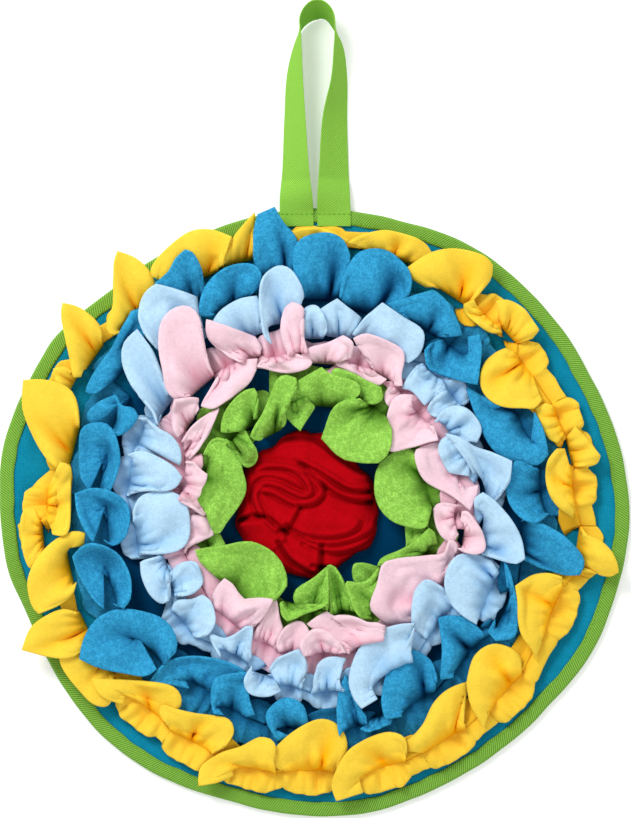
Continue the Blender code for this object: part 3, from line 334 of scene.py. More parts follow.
SKY = (
    Petal(8, 130, 5, 0, 2, 1, ((2.5, 139, 5), (0.5, 146, 8, 1), (3, 151, 10), (6.2, 157, 11, 1),
        (10, 151, 10), (13.5, 146.5, 8, 1), (12.5, 137, 5))),
    Petal(22, 128, 4, 0, -3, 2, ((12, 133, 4), (14.5, 147, 8), (18, 161, 13, 1), (24, 157, 12),
        (30.5, 155, 11), (33, 146, 10), (33.5, 137, 8), (32, 128.5, 6, 1))),
    Petal(40, 134, 5, 0, 2, 1, ((35, 131, 4), (34.5, 122, 6), (35.2, 111, 8, 1), (39, 113.5, 9),
        (45.5, 112, 9, 1), (46.2, 125, 7), (46, 133, 4))),
    Petal(49.5, 132, 3, 0, 3, 0, ((46.3, 128, 2), (46.8, 113, 4), (50, 111, 4), (52.5, 115, 4),
        (53.3, 128, 2))),
    Petal(58, 114, 6, 0.1, 4, 1, ((53, 109, 5), (51.3, 118, 8), (52, 127, 10), (55, 134, 11),
        (59.5, 137, 11), (63.5, 136, 10), (66.5, 129, 9, 1), (64, 123.5, 6))),
    Petal(67.5, 119, 6, 0, 3, 0, ((60, 112, 4), (60, 106, 7), (62.5, 101.5, 8), (66.5, 100.3, 9),
        (70.5, 101, 9), (73, 102.5, 8, 1), (75, 109, 7), (76.5, 116, 4))),
    Petal(82, 127, 4, 0.2, 3, 2, ((76, 119, 5), (70, 116.5, 8), (64, 114, 9), (58.3, 111.5, 8, 1),
        (62, 119, 10), (67, 126, 11), (71, 137, 12), (75, 148.5, 13, 1), (80, 144, 12),
        (84.8, 134, 9, 1))),
    Petal(97, 124, 5, 0.55, 6, 1, ((88, 116.5, 5), (84.5, 117, 9), (82.7, 123.5, 11, 1),
        (86, 132, 12), (92, 144, 13), (97, 152, 14), (102, 156.5, 14, 1), (104, 151, 10),
        (103.8, 140, 7), (103, 130, 4))),
    Petal(115, 140, 6, -0.6, 9, 2, ((105, 134, 3), (104, 122, 6), (105.5, 110, 9), (109, 105, 11),
        (114, 104.5, 12), (119, 108, 12), (123, 117, 12), (124.5, 130, 11), (124.3, 143, 8))),
    Petal(130, 121, 6, 0, 3, 1, ((120.5, 112, 4), (119.5, 100, 7), (121, 93, 9), (127, 92, 10),
        (132, 95.5, 10), (136, 101.5, 10, 1), (139, 109, 9), (137.5, 117, 5))),
    Petal(154, 129, 7, 0, 2, 2, ((146, 117, 5), (141, 112, 8), (137.3, 107.5, 10, 1),
        (141, 102, 11), (147, 97.8, 12), (154, 97, 12), (160, 101, 12), (165, 110, 12),
        (168.3, 124, 12), (168, 137, 12), (166.3, 145.7, 12, 1), (161, 142, 6))),
    Petal(175.5, 130, 5, 0.1, 4, 1, ((173, 128, 6), (171.8, 118, 8), (170.3, 112, 8),
        (167.5, 107.5, 8, 1), (171, 105, 10), (175.5, 105, 11), (178.7, 110, 11), (179.8, 120, 9),
        (179.5, 129, 5))),
    Petal(188, 127, -2, 0, 3, 1, ((184.5, 124, 4), (183, 116, 6), (182.7, 109, 9),
        (184.5, 101, 10), (187, 99, 11, 1), (191, 103.5, 13), (194.5, 109, 13), (196, 118, 8))),
    Petal(197, 124, 4, 0, 3, 1, ((190.5, 131, 7), (194, 137, 10), (198.5, 139, 11),
        (201.5, 136, 11), (203, 129, 10), (202.3, 119, 7))),
    Petal(210, 118, 5, -0.2, 4, 1, ((203.5, 114, 5), (205.5, 107, 8), (207, 99, 9),
        (208.3, 93, 10), (211, 95, 11, 1), (213.3, 104, 12), (216, 111.5, 12),
        (221.5, 115.5, 11, 1), (217, 121, 9), (213, 124, 6))),
    Petal(230, 124, 6, 0, 3, 2, ((224, 125, 5), (221.3, 117, 8), (222, 107, 10), (225.5, 101, 11),
        (230, 98, 11), (234, 100, 10, 1), (235, 108, 10), (237.5, 117, 9), (236.5, 123, 6))),
    Petal(243, 117, 5, 0, 3, 0, ((238.5, 114, 4), (236.5, 104, 7), (238, 95, 8), (243, 92, 9),
        (248, 93, 9), (249.5, 102, 8), (248, 111, 5))),
    Petal(251, 114, 5, -0.2, 3, 2, ((247.5, 112, 6), (243.5, 117, 9), (239, 122.5, 10, 1),
        (239.5, 129, 11), (244, 133, 12), (250, 133.3, 12), (254.3, 131, 11, 1), (254.3, 122, 8))),
    Petal(262, 130, 7, -0.4, 5, 2, ((258, 127, 4), (255.5, 115, 6), (255, 100, 8), (259, 92, 9),
        (266, 90, 10), (272, 91, 11), (277, 96, 12), (279, 107, 12), (278, 118, 11),
        (275, 127.5, 10), (270, 131.5, 7))),
    Petal(281, 136, 8, -0.35, 4, 1, ((277.5, 133, 4), (278.5, 120, 7), (279, 108, 9),
        (281.5, 101, 11), (285.5, 99, 12, 1), (288.5, 107, 12), (290, 120, 12), (290, 133, 11),
        (287.5, 142, 7))),
    Petal(294, 138, 6, -0.5, 5, 2, ((290.5, 135, 4), (290.5, 125, 6), (291.3, 112, 8),
        (290, 103.5, 9, 1), (292.5, 104, 11), (296.5, 109, 12), (298.6, 117, 12), (298.9, 128, 12),
        (299.8, 140, 10, 1), (298.5, 145, 6))),
    Petal(305.5, 133, 6, 0, 3, 1, ((299.3, 129, 8, 1), (302.8, 140, 10), (304, 152, 11),
        (305.5, 165, 12), (308.5, 178, 13), (312, 185.5, 13), (316.3, 185.5, 13, 1),
        (315.7, 172, 13), (314, 159, 12), (311, 146, 10), (308.8, 137, 6))),
    Petal(322, 150, 8, 0.35, 5, 2, ((317.3, 160, 5), (316.7, 173, 9), (317.5, 187, 12),
        (320, 197, 14), (323, 202, 14), (325.5, 202, 14, 1), (328, 193, 11), (331.5, 179.5, 9, 1),
        (329.5, 166, 5))),
    Petal(339.5, 137, 6, 0, 2, 1, ((337, 136, 5), (334, 142, 9), (330.2, 151, 11, 1),
        (332.5, 158, 12), (336, 163, 13), (341, 165, 13), (345.3, 163.5, 12, 1), (345.4, 152, 10),
        (343.8, 142, 6))),
    Petal(350, 141, 7, 0.2, 5, 2, ((346.3, 126, 6, 1), (344.3, 133, 8), (344.8, 148, 10),
        (345.8, 163, 12), (348, 176, 13), (351.5, 181.8, 14), (354.5, 178.5, 13), (356.7, 167, 11),
        (357.3, 157, 9))),
    Petal(359, 128, 5, 0.1, 3, 0, ((355, 126, 4), (354.3, 134, 6), (355.5, 142, 8),
        (357.5, 149, 9), (359.7, 151.5, 9), (1.5, 149.5, 8), (3.5, 141, 6), (4, 132, 4))),
)

PINK = (
    Petal(4, 110, 4, 0, 2, 0, ((357, 107, 3), (355.5, 116, 6), (359, 121, 8), (4, 124, 8),
        (9.5, 131, 9, 1), (13, 127, 8), (13.5, 116, 4))),
    Petal(16, 112, 5, 0.1, 4, 1, ((10, 116, 4), (8, 110, 6), (12, 107, 8), (18, 105, 9),
        (22.5, 102.5, 9), (27, 104.5, 8), (28.5, 111, 5))),
    Petal(27, 112, 5, 0, 2, 2, ((22, 115, 4), (17, 123, 8), (12.6, 130.5, 10, 1), (16, 136, 12),
        (22, 136.5, 12), (28, 135.5, 11), (30.3, 130, 10), (32, 120, 9), (34.8, 113, 8, 1),
        (32, 109.5, 5))),
    Petal(36, 108, 4, 0, 2, 0, ((30.5, 106, 3), (31, 99, 5), (34, 95, 6), (38, 95, 6), (41, 98, 5),
        (41.5, 104, 3))),
    Petal(47, 105, 4, -0.3, 5, 2, ((40, 112.5, 6, 1), (36, 107, 7), (34.5, 100, 8), (36.5, 89, 9),
        (40, 81, 10), (44, 73.5, 11), (47.5, 70.5, 11), (50.5, 70.8, 11), (53, 75, 11),
        (56, 86, 11), (58, 97, 10), (59.5, 104.5, 8, 1), (54, 108, 7))),
    Petal(72, 107, 4, 0.1, 4, 1, ((60, 103, 4), (58.5, 95, 6), (58, 87, 8, 1), (60, 84, 9),
        (65, 82, 10), (70, 82, 10), (74.5, 84.5, 10), (78, 90, 10), (82, 99, 11), (86, 107, 11),
        (89, 113, 10, 1), (84, 119, 9), (80, 121, 8))),
    Petal(91, 102, -2, 0, 5, 0, ((87, 108, 4), (85.5, 97, 6), (85.5, 90, 7), (88, 86.5, 8, 1),
        (92, 87.5, 9), (97, 90, 10), (100.5, 95, 10), (102, 102, 9), (98, 106, 5))),
    Petal(99, 111, 5, 0, 3, 2, ((93, 106.5, 5), (89, 107.5, 7, 1), (89.3, 112, 8), (93, 118, 10),
        (97, 124, 11), (101.5, 127, 11), (103.8, 123, 10), (104.5, 114, 7), (103.5, 107, 4))),
    Petal(124, 106, 5, 0.35, 6, 1, ((104, 107, 5), (101, 105, 6), (101, 99.5, 8, 1), (107, 98, 9),
        (109, 91, 10), (112, 82, 11), (116, 72, 11), (120, 66, 11), (124, 62, 11), (128, 61.5, 12),
        (134, 65, 12), (140, 69.5, 12), (145, 73, 12), (149.3, 79, 12), (148.8, 86, 11),
        (147, 95, 10, 1), (142, 100, 8), (137, 107, 6))),
    Petal(159, 104, 4, 0, 3, 1, ((149.5, 100, 4), (147.5, 96, 6, 1), (150, 90.5, 8),
        (153.5, 87.5, 9), (157, 82, 10), (161, 78, 11), (166, 75.5, 11), (170.3, 75, 11),
        (172.8, 71, 12, 1), (178, 74, 12), (183.8, 80, 12, 1), (177, 86, 11), (170, 93.5, 10),
        (166, 103, 8))),
    Petal(176, 102, -3, 0, 6, 0, ((167, 104, 4), (168, 97, 6), (170, 91, 7), (173, 86, 8),
        (177, 83.5, 8), (181, 84, 9, 1), (184, 88, 10), (186, 96, 9), (184, 104, 6))),
    Petal(189, 103, 3, 0, 3, 1, ((184, 107, 5), (182, 98, 8), (181.5, 90, 9), (183, 83, 10),
        (186.5, 78.7, 11), (190.5, 79.5, 11), (194.5, 85, 11, 1), (196, 92, 9), (196, 100, 6))),
    Petal(201, 101, 4, -0.2, 4, 1, ((196.5, 103, 4), (195.5, 93, 7), (195, 86, 9, 1),
        (198, 80, 10), (200.5, 73, 11), (203, 68.5, 11), (205.3, 68.2, 11, 1), (206, 76, 10),
        (205.7, 84, 9), (206, 93, 6))),
    Petal(219, 99, 4, 0, -5, 1, ((210, 96, 8), (206.5, 88, 10, 1), (205.7, 80, 10),
        (205.2, 68.5, 9, 1), (209, 70, 8), (214, 74, 8), (219, 80, 9, 1), (224, 79.3, 10),
        (229, 77.8, 11), (234.3, 80, 12, 1), (233, 88, 11), (231, 94, 9), (226, 97, 7))),
    Petal(262, 97, 3, 0, 3, 0, ((256, 97, 3), (256.5, 86, 5), (257.3, 79, 6), (258, 74.5, 7, 1),
        (260, 73, 8), (264, 72.8, 8), (269, 76, 8, 1), (269, 83, 6), (268, 93, 4))),
    Petal(283, 98, 3, -0.45, 5, 1, ((275, 97, 4), (272, 86, 6), (269, 80, 7, 1), (271, 73, 9),
        (274, 67.5, 10), (277, 64.3, 11), (281, 63.2, 11), (285, 64.3, 11), (287.5, 68, 11),
        (289.5, 76, 11), (291, 86, 10), (293.5, 95, 8, 1), (292, 101, 6))),
    Petal(298, 102, 3, 0, 1, 2, ((293.5, 98.5, 4), (299, 95.8, 7), (305, 95.5, 9), (311, 97.3, 10),
        (318.3, 102.7, 11, 1), (312, 106.5, 11), (305, 109, 10), (298, 109.5, 6))),
    Petal(305, 112, 5, 0, 2, 1, ((299, 113, 5), (300.5, 118.7, 7), (305, 126, 9),
        (309.3, 131, 10, 1), (313, 124, 9), (315, 119, 8, 1), (312, 112.5, 5))),
    Petal(319, 124, 9, 0, 2, 3, ((314, 123.5, 5), (309.3, 131.5, 8, 1), (310.3, 141, 10),
        (313.5, 151, 11), (317, 165, 13), (321, 177, 14), (325, 180.5, 14), (328.5, 177, 13),
        (329.8, 168, 12), (328.2, 155, 10), (325.5, 141, 8), (323.5, 130, 5))),
    Petal(331, 124, 6, -0.4, 5, 2, ((324, 120, 5), (313.5, 113, 7, 1), (316, 105.5, 9),
        (322, 103.3, 10), (328, 103.5, 10), (334, 106, 10), (338, 112, 9, 1), (340, 120, 5))),
    Petal(338, 121.5, 4, 0, 2, 0, ((334.5, 121, 3), (330.5, 134, 5), (329, 150, 7),
        (331, 161, 9, 1), (334, 153, 8), (337.5, 144, 7), (341.5, 135.5, 6, 1), (342.5, 126, 4))),
    Petal(346.5, 117, 5, -0.2, 4, 0, ((341.5, 118, 4), (338.8, 114.5, 6, 1), (343, 108.5, 9),
        (348, 104, 10), (353, 103.5, 10), (358, 106, 9), (359, 111, 6), (353, 117, 4))),
    Petal(354.5, 115, 4, 0.2, 4, 1, ((350.5, 122, 5), (349.8, 136, 8), (351.8, 150, 10),
        (354.3, 154.5, 11, 1), (357, 149.5, 9), (356, 138, 6), (356.5, 124, 4))),
)

GREEN = (
    Petal(4.5, 79, 6, 0, 2, 2, ((353, 81, 5, 1), (345, 86, 8, 1), (348, 92, 10), (353, 97, 12),
        (358, 101.5, 13), (3, 106.5, 14, 1), (6.3, 102.5, 13), (12, 101, 13), (18, 100.5, 12),
        (21, 95, 10), (19.5, 87, 8), (17, 81, 6))),
    Petal(20, 88, 4, 0, 3, 0, ((12, 92, 5), (8, 98, 8), (7, 104.5, 10, 1), (9, 107, 11),
        (15, 106, 11), (22, 104, 11), (28, 104, 11, 1), (31, 97, 9), (28, 90, 6))),
    Petal(31, 88, 5, -0.55, 7, 2, ((22, 90, 5), (14, 84, 6), (9.5, 76, 7), (7, 62, 8),
        (5.5, 54.5, 9, 1), (11, 50.5, 10), (18, 46.5, 11), (25, 45, 12), (31, 45, 12),
        (38, 47.5, 12), (45, 51.5, 12), (51.7, 59, 11, 1), (51.5, 67, 9), (48, 75, 8),
        (42, 84, 6))),
    Petal(76, 84, 6, -0.45, 7, 2, ((64, 84, 4), (57.5, 86, 6, 1), (53, 80, 7), (51.8, 70, 8),
        (52.3, 60, 9, 1), (56, 54, 10), (62, 49.5, 11), (70, 46.5, 12), (78, 46, 12), (86, 48, 12),
        (92, 52, 12), (96.3, 58.5, 11), (98, 68, 10), (98, 79, 9), (95, 83, 6))),
    Petal(100, 83, 0, 0, 2, 0, ((97.5, 82, 2), (98, 75, 3), (97, 66.5, 4, 1), (101, 67.5, 4),
        (106, 69.5, 4), (110, 71, 4, 1), (106, 77, 3))),
    Petal(110, 86, 4, 0, 3, 1, ((104, 92.5, 4), (99, 88.5, 6), (97, 83.5, 8, 1), (101, 79.5, 9),
        (106, 74.5, 10), (111, 69.5, 10), (116, 64.5, 10), (121, 60.5, 10), (125, 58.5, 10),
        (130, 59.5, 10, 1), (122, 66, 8), (117, 74, 6))),
    Petal(135.5, 80, 0, 0, 2, 0, ((130.5, 72, 2), (129.8, 60, 4, 1), (132, 55, 6), (135.5, 50, 7),
        (140, 47, 8), (143.5, 47.3, 8), (147, 50.5, 8, 1), (149, 57, 5), (145, 66, 3))),
    Petal(146, 83, 4, 0, 3, 2, ((139, 78, 4), (134, 69, 6), (129.8, 60.5, 8, 1), (135, 61, 9),
        (141, 61.5, 10), (147, 59.5, 10), (150.5, 56.5, 11), (154, 54.5, 11), (156.6, 56, 11, 1),
        (157.3, 65, 10), (157.3, 76, 9), (156, 84, 7, 1), (151, 88, 5))),
    Petal(164, 76, -2, 0, 3, 0, ((158, 78, 4), (157.3, 66, 6), (156.8, 52, 8), (158.5, 42, 9, 1),
        (162, 39, 10), (165.5, 39, 9, 1), (168, 50, 6), (170, 62, 4), (171, 72, 3))),
    Petal(180, 69, 4, 0.1, 4, 1, ((172, 71, 5), (170, 62, 8), (167.5, 50, 10), (165, 39.3, 11, 1),
        (170, 40.5, 12), (177, 44.5, 12), (184, 48.5, 12), (190, 52.5, 12), (193.5, 57, 11, 1),
        (194, 62, 9), (192, 67, 6))),
    Petal(194, 68, 3, 0, 2, 1, ((184, 66, 4), (176, 66.5, 6), (171, 66.5, 7, 1), (178, 69.5, 9),
        (185, 73, 10), (190, 77.5, 11), (194, 80.5, 11, 1), (197.5, 77, 10), (200.5, 71, 8, 1),
        (199, 67, 5))),
    Petal(226, 82, -4, 0, 0, 2, ((210, 78, 3), (204, 68, 4), (200.5, 56, 6, 1), (203, 50, 9),
        (208, 45.5, 11), (215, 42, 12), (222, 41, 12), (229, 41, 12), (236, 43, 12), (242, 46, 12),
        (246.5, 50.5, 12), (249.3, 58, 12), (250.5, 68, 12), (252.5, 82, 13), (253, 90, 13, 1),
        (247, 89, 10), (239, 84, 6))),
    Petal(254, 80, 1, 0, 0, 0, ((251, 79, 3), (250.3, 68, 5, 1), (256.8, 69.5, 5, 1),
        (257.3, 79, 4))),
    Petal(288, 84, 5, 0, 3, 2, ((272, 76, 4), (258, 73.5, 8, 1), (258.5, 69, 9), (264, 63.5, 10),
        (270, 58, 11), (277, 54, 12), (284, 52, 12), (290, 52.3, 12), (296, 55, 12),
        (301.5, 60.5, 12), (307, 66, 12), (310.5, 73, 12), (310.8, 81, 11), (308.5, 89, 10, 1),
        (305, 91.5, 8), (298, 91, 5))),
    Petal(313, 80, 5, -0.2, 8, 0, ((310.5, 84, 4), (309.5, 73, 6, 1), (304.5, 62.5, 8),
        (306, 57.5, 9), (311, 56, 9), (315.5, 58, 10), (318.5, 63, 11), (319.3, 70, 11),
        (320.5, 77, 11, 1), (320, 86, 8))),
    Petal(325, 79, 4, 0.2, 3, 2, ((316, 84, 4), (311, 90, 7, 1), (315, 95, 10), (320, 99, 11),
        (326, 101.7, 12), (331, 102.5, 12), (334.5, 101, 12, 1), (334.5, 95, 10), (331, 88, 8),
        (327, 81, 6))),
    Petal(333, 66, 6, 0.1, 4, 1, ((326, 66, 5), (321.5, 68, 7), (320.5, 73, 9, 1), (326, 77, 11),
        (332, 81, 12), (337, 87, 12), (341, 94, 12), (344.5, 101, 13), (348, 103, 13),
        (352.5, 99.5, 12, 1), (352, 93, 10), (344.5, 84, 7), (343.8, 73, 6), (341, 67, 5))),
    Petal(350, 84, 3, 0, 0, 1, ((343.8, 86.5, 5), (343, 80, 7), (344.3, 72, 9), (347, 66, 10),
        (350.6, 60.5, 11, 1), (354, 65.5, 10), (358, 72, 9), (360.5, 77, 8, 1), (357, 82, 6))),
)


class RingSpec(NamedTuple):
    """A ring's piece, its petals, the most that its frill reaches outside the seam, the
    frill's painted shade, its cloth and the length and width in metres of its flat strip.
    """
    piece: str
    node: str
    petals: tuple
    frill: float
    shade: float
    cloth: str
    flat: tuple


RINGS = (
    RingSpec("yellow_petals", "petal_ring_yellow", YELLOW, 18.0, 0.45, "yellow", (1.30, 0.055)),
    RingSpec("blue_petals", "petal_ring_blue", BLUE, 26.0, 0.9, "blue", (1.32, 0.055)),
    RingSpec("sky_petals", "petal_ring_sky", SKY, 13.0, 1.0, "sky", (1.12, 0.055)),
    RingSpec("pink_petals", "petal_ring_pink", PINK, 32.0, 1.0, "pink", (0.81, 0.055)),
    RingSpec("green_petals", "petal_ring_green", GREEN, 32.0, 0.9, "green", (0.70, 0.055)),
)


# ---------------------------------------------------------------- sizes and colours

def length(name, description, default, low, high):
    """A length property shown in metres."""
    return FloatProperty(name=name, description=description, default=default, min=low, max=high,
                         subtype="DISTANCE", unit="LENGTH")


def colour(name, description, default):
    """A colour property."""
    return FloatVectorProperty(name=name, description=description, default=default, size=3,
                               min=0.0, max=1.0, subtype="COLOR")


class SNUFFLE_PG_sizes(bpy.types.PropertyGroup):
    """Sizes of the mat that can be changed without a new cut."""
    fleece: length("Fleece", "Thickness of the fleece strips", 0.0024, 0.001, 0.004)
    loop: length("Loop", "Width of the hanging loop's tape", 0.0245, 0.018, 0.03)
    stitch: length("Stitch", "Length of one stitch of the binding's seam", 0.0034, 0.002, 0.006)
    nap: length("Nap", "Height of the fleece's nap", 0.00035, 0.0, 0.001)


class SNUFFLE_PG_colours(bpy.types.PropertyGroup):
    """Colours of the cloths."""
    ground: colour("Ground cloth", "Teal ground cloth", (0.0, 0.24, 0.395))
    tape: colour("Tape", "Green binding and loop tape", (0.215, 0.53, 0.04))
    yellow: colour("Yellow fleece", "Outermost ring of petals", (0.98, 0.68, 0.062))
    blue: colour("Blue fleece", "Second ring of petals", (0.05, 0.425, 0.745))
    sky: colour("Light blue fleece", "Third ring of petals", (0.53, 0.775, 0.98))
    pink: colour("Pink fleece", "Fourth ring of petals", (0.95, 0.68, 0.76))
    green: colour("Green fleece", "Innermost ring of petals", (0.40, 0.79, 0.13))
    red: colour("Red fleece", "Rosette", (0.475, 0.0015, 0.006))


# ---------------------------------------------------------------- shapes as arrays

def direction(clock):
    """Unit vector of a clock angle, along the last axis."""
    turn = np.radians(clock)
    return np.stack([np.sin(turn), np.cos(turn)], axis=-1)


def place(clock, radius):
    """Point on the mat from its clock angle and radius."""
    return np.asarray(radius)[..., None] * direction(clock)


def catmull_rom(points, count, closed=False):
    """Sample a smooth curve through the points at evenly spaced parameters."""
    points = np.asarray(points, dtype=float)
    spans = len(points) if closed else len(points) - 1
    t = np.arange(count) * spans / (count if closed else count - 1)
    i = np.minimum(t.astype(int), spans - 1)
    u = (t - i)[:, None]
    if closed:
        a, b, c, d = (points[(i + k) % len(points)] for k in (-1, 0, 1, 2))
    else:
        a, b, c, d = (points[np.clip(i + k, 0, spans)] for k in (-1, 0, 1, 2))
    return 0.5 * (2 * b + (c - a) * u + (2 * a - 5 * b + 4 * c - d) * u ** 2
                  + (3 * b - a - 3 * c + d) * u ** 3)


def gone_along(line):
    """Distance gone along a line, at each of its points."""
    return np.concatenate([[0], np.cumsum(np.linalg.norm(np.diff(line, axis=0), axis=1))])


def unit(vectors):
    """Rows of vectors at length one."""
    return vectors / np.linalg.norm(vectors, axis=1)[:, None]


def with_height(plan, height):
    """Points from a grid of places in plan and their heights."""
    return np.concatenate([plan, height[..., None]], axis=2)


def smooth_step(x):
    """Rise smoothly from 0 to 1 as x does."""
    x = np.clip(x, 0.0, 1.0)
    return x * x * (3 - 2 * x)


def rim_radius(clock):
    """Radius of the edge of the mat, eased between the rows of the rim."""
    at = np.array([row.at for row in RIM] + [RIM[0].at + 360.0])
    radius = np.array([row.radius for row in RIM] + [RIM[0].radius])
    clock = np.mod(clock, 360.0)
    i = np.clip(np.searchsorted(at, clock, side="right") - 1, 0, len(RIM) - 1)
    ease = smooth_step((clock - at[i]) / (at[i + 1] - at[i]))
    return radius[i] + (radius[i + 1] - radius[i]) * ease


def cloth_rise(inset):
    """Rise of the cloth on to the folded tape, from the distance to the edge."""
    return RIM_RISE * smooth_step((RAMP_START - inset) / (RAMP_START - RAMP_END))


def cloth_top(points):
    """Height of the top of the ground cloth at points on the mat."""
    clock = np.degrees(np.arctan2(points[..., 0], points[..., 1]))
    inset = rim_radius(clock) - np.hypot(points[..., 0], points[..., 1])
    return CLOTH_THICKNESS + cloth_rise(inset)


def waves(x, seed, count=3):
    """Sum of sines of falling wavelength and height, with seeded phases, within about 1."""
    rng = np.random.default_rng(SEED + seed)
    total = np.zeros_like(np.asarray(x, dtype=float))
    for k in range(count):
        total = total + np.sin(2 * math.pi * (1.7 ** k * x + rng.random())) / 1.6 ** k
    return total / 1.6


def grid_faces(rows, columns, wrap_rows=False, wrap_columns=False):
    """Quads of a rows x columns grid of points stored row by row, as one index array."""
    r = np.arange(rows if wrap_rows else rows - 1)[:, None]
    c = np.arange(columns if wrap_columns else columns - 1)[None, :]
    r_next, c_next = (r + 1) % rows, (c + 1) % columns
    return np.stack([r * columns + c, r * columns + c_next, r_next * columns + c_next,
                     r_next * columns + c], axis=-1).reshape(-1, 4)


def turn_outwards(mesh):
    """Turn a closed mesh's faces outwards."""
    shape = bmesh.new()
    shape.from_mesh(mesh)
    bmesh.ops.recalc_face_normals(shape, faces=shape.faces)
    shape.to_mesh(mesh)
    shape.free()


def make_piece(name, points, quads, material, uv=None, painted_shade=None, triangles=()):
    """Put millimetre points and faces into a new object at the origin, which rides the root.

    uv is each point's place on the cloth. painted_shade is how much painted shade each
    point's colour gets, from 0 to 1, most down in the folds.
    """
    triangles = np.asarray(triangles, dtype=int).reshape(-1, 3)
    corners = np.concatenate([quads.ravel(), triangles.ravel()])
    totals = np.repeat((4, 3), (len(quads), len(triangles)))
    mesh = bpy.data.meshes.new(name)
    mesh.vertices.add(len(points))
    mesh.vertices.foreach_set("co", (points * MM).ravel())
    mesh.loops.add(len(corners))
    mesh.loops.foreach_set("vertex_index", corners)
    mesh.polygons.add(len(totals))
    mesh.polygons.foreach_set("loop_start", np.cumsum(totals) - totals)
    mesh.polygons.foreach_set("use_smooth", np.full(len(totals), True))
    if uv is not None:
        mesh.uv_layers.new(name="cloth").data.foreach_set("uv", uv[corners].ravel())
    if painted_shade is not None:
        # each point's painted shade, for the materials to darken the colour by
        mesh.attributes.new("painted_shade", "FLOAT", "POINT").data.foreach_set("value", painted_shade)
    mesh.update(calc_edges=True)
    mesh.validate()
    mesh.materials.append(material)
    turn_outwards(mesh)
    obj = bpy.data.objects.new(name, mesh)
    bpy.context.scene.collection.objects.link(obj)
    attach(obj, "root")
    return obj


# ---------------------------------------------------------------- materials

class Fleece(NamedTuple):
    """How far pills darken a fleece, and how light the painted shade in its folds stays."""
    grain: float
    painted_shade: float


FLEECES = {
    "yellow": Fleece(0.25, 1.0), "blue": Fleece(0.95, 0.26), "sky": Fleece(0.4, 0.72),
    "pink": Fleece(0.3, 0.85), "green": Fleece(1.1, 0.2), "red": Fleece(0.35, 0.4),
}


class Tape(NamedTuple):
    """A tape's tone against the tape colour, and its weave.

    herringbone: 1 where the ribs turn back at the middle. pitch: from rib to rib along the
    tape. slope: of the ribs, along for across. depth: how dark the gaps between ribs are.
    """
    tone: float
    herringbone: float
    pitch: float
    width: float
    slope: float
    depth: float


TAPES = {
    "binding": Tape(0.83, 0.0, 1.8, 22.0, -0.65, 1.0),
    "loop": Tape(1.02, 1.0, 1.9, 24.5, 1.0, 0.4),
}


def new_group(name, inputs):
    """A shader node group that gives a Colour and a Normal; with its input and output node."""
    group = bpy.data.node_groups.new(name, "ShaderNodeTree")
    for label, kind in inputs.items():
        group.interface.new_socket(name=label, in_out="INPUT", socket_type="NodeSocket" + kind)
    for label, kind in (("Colour", "Color"), ("Normal", "Vector")):
        group.interface.new_socket(name=label, in_out="OUTPUT", socket_type="NodeSocket" + kind)
    return group, group.nodes.new("NodeGroupInput"), group.nodes.new("NodeGroupOutput")


def feed(tree, slot, value):
    """Link a socket to an input, or set the input to a plain value."""
    if isinstance(value, bpy.types.NodeSocket):
        tree.links.new(value, slot)
    else:
        slot.default_value = value


def add_math(tree, operation, a, b=0.5):
    """A Math node; gives its result socket."""
    node = tree.nodes.new("ShaderNodeMath")
    node.operation = operation
    feed(tree, node.inputs[0], a)
    feed(tree, node.inputs[1], b)
    return node.outputs[0]


def weighted_sum(tree, *terms):
    """Sum of sockets, each times its weight; gives its result socket."""
    parts = [add_math(tree, "MULTIPLY", socket, weight) for socket, weight in terms]
    total = parts[0]
    for part in parts[1:]:
        total = add_math(tree, "ADD", total, part)
    return total


def add_ribs(tree, phase):
    """A wave from 0 to 1 with one crest for each whole step of the phase."""
    wave = add_math(tree, "SINE", add_math(tree, "MULTIPLY", phase, 2 * math.pi))
    return remap(tree, wave, -1.0, 1.0, 0.0, 1.0)


def add_noise(tree, vector, scale, detail, roughness):
    """A noise texture on a vector, its scale in features per metre; gives its value socket."""
    node = tree.nodes.new("ShaderNodeTexNoise")
    for label, value in (("Scale", scale), ("Detail", detail), ("Roughness", roughness)):
        node.inputs[label].default_value = value
    tree.links.new(vector, node.inputs["Vector"])
    return node.outputs["Fac"]


def mix_colour(tree, factor, a, b, blend="MIX"):
    """A colour Mix node fed with sockets or colours; gives its result socket."""
    node = tree.nodes.new("ShaderNodeMix")
    node.data_type = "RGBA"
    node.blend_type = blend
    for number, value in ((0, factor), (6, a), (7, b)):
        feed(tree, node.inputs[number], value)
    return node.outputs[2]


def remap(tree, value, low, high, to_low, to_high):
    """A Map Range node; gives its result socket."""
    node = tree.nodes.new("ShaderNodeMapRange")
    for slot, number in zip(node.inputs, (value, low, high, to_low, to_high)):
        feed(tree, slot, number)
    return node.outputs[0]


def add_bump(tree, height, distance):
    """A Bump node on a height; gives its normal socket."""
    node = tree.nodes.new("ShaderNodeBump")
    feed(tree, node.inputs["Distance"], distance)
    feed(tree, node.inputs["Height"], height)
    return node.outputs["Normal"]


def rgba(colour):
    """A colour with its alpha."""
    return (*colour, 1.0)


def base_material(name, base, roughness):
    """A material with its Principled shader set; gives the material, its tree and shader."""
    material = bpy.data.materials.new(name)
    material.use_nodes = True
    tree = material.node_tree
    shader = tree.nodes["Principled BSDF"]
    shader.inputs["Base Color"].default_value = rgba(base)
    shader.inputs["Roughness"].default_value = roughness
    shader.inputs["Specular IOR Level"].default_value = 0.03
    material.diffuse_color = rgba(base)
    return material, tree, shader


def add_cloth(tree, shader, group, inputs, shade=None):
    """Feed a shader with a cloth group; shade may paint shade into the group's colour on the way.
    """
    node = tree.nodes.new("ShaderNodeGroup")
    node.node_tree = group
    for label, value in inputs.items():
        node.inputs[label].default_value = value
    colour = node.outputs["Colour"]
    tree.links.new(shade(colour) if shade else colour, shader.inputs["Base Color"])
    tree.links.new(node.outputs["Normal"], shader.inputs["Normal"])


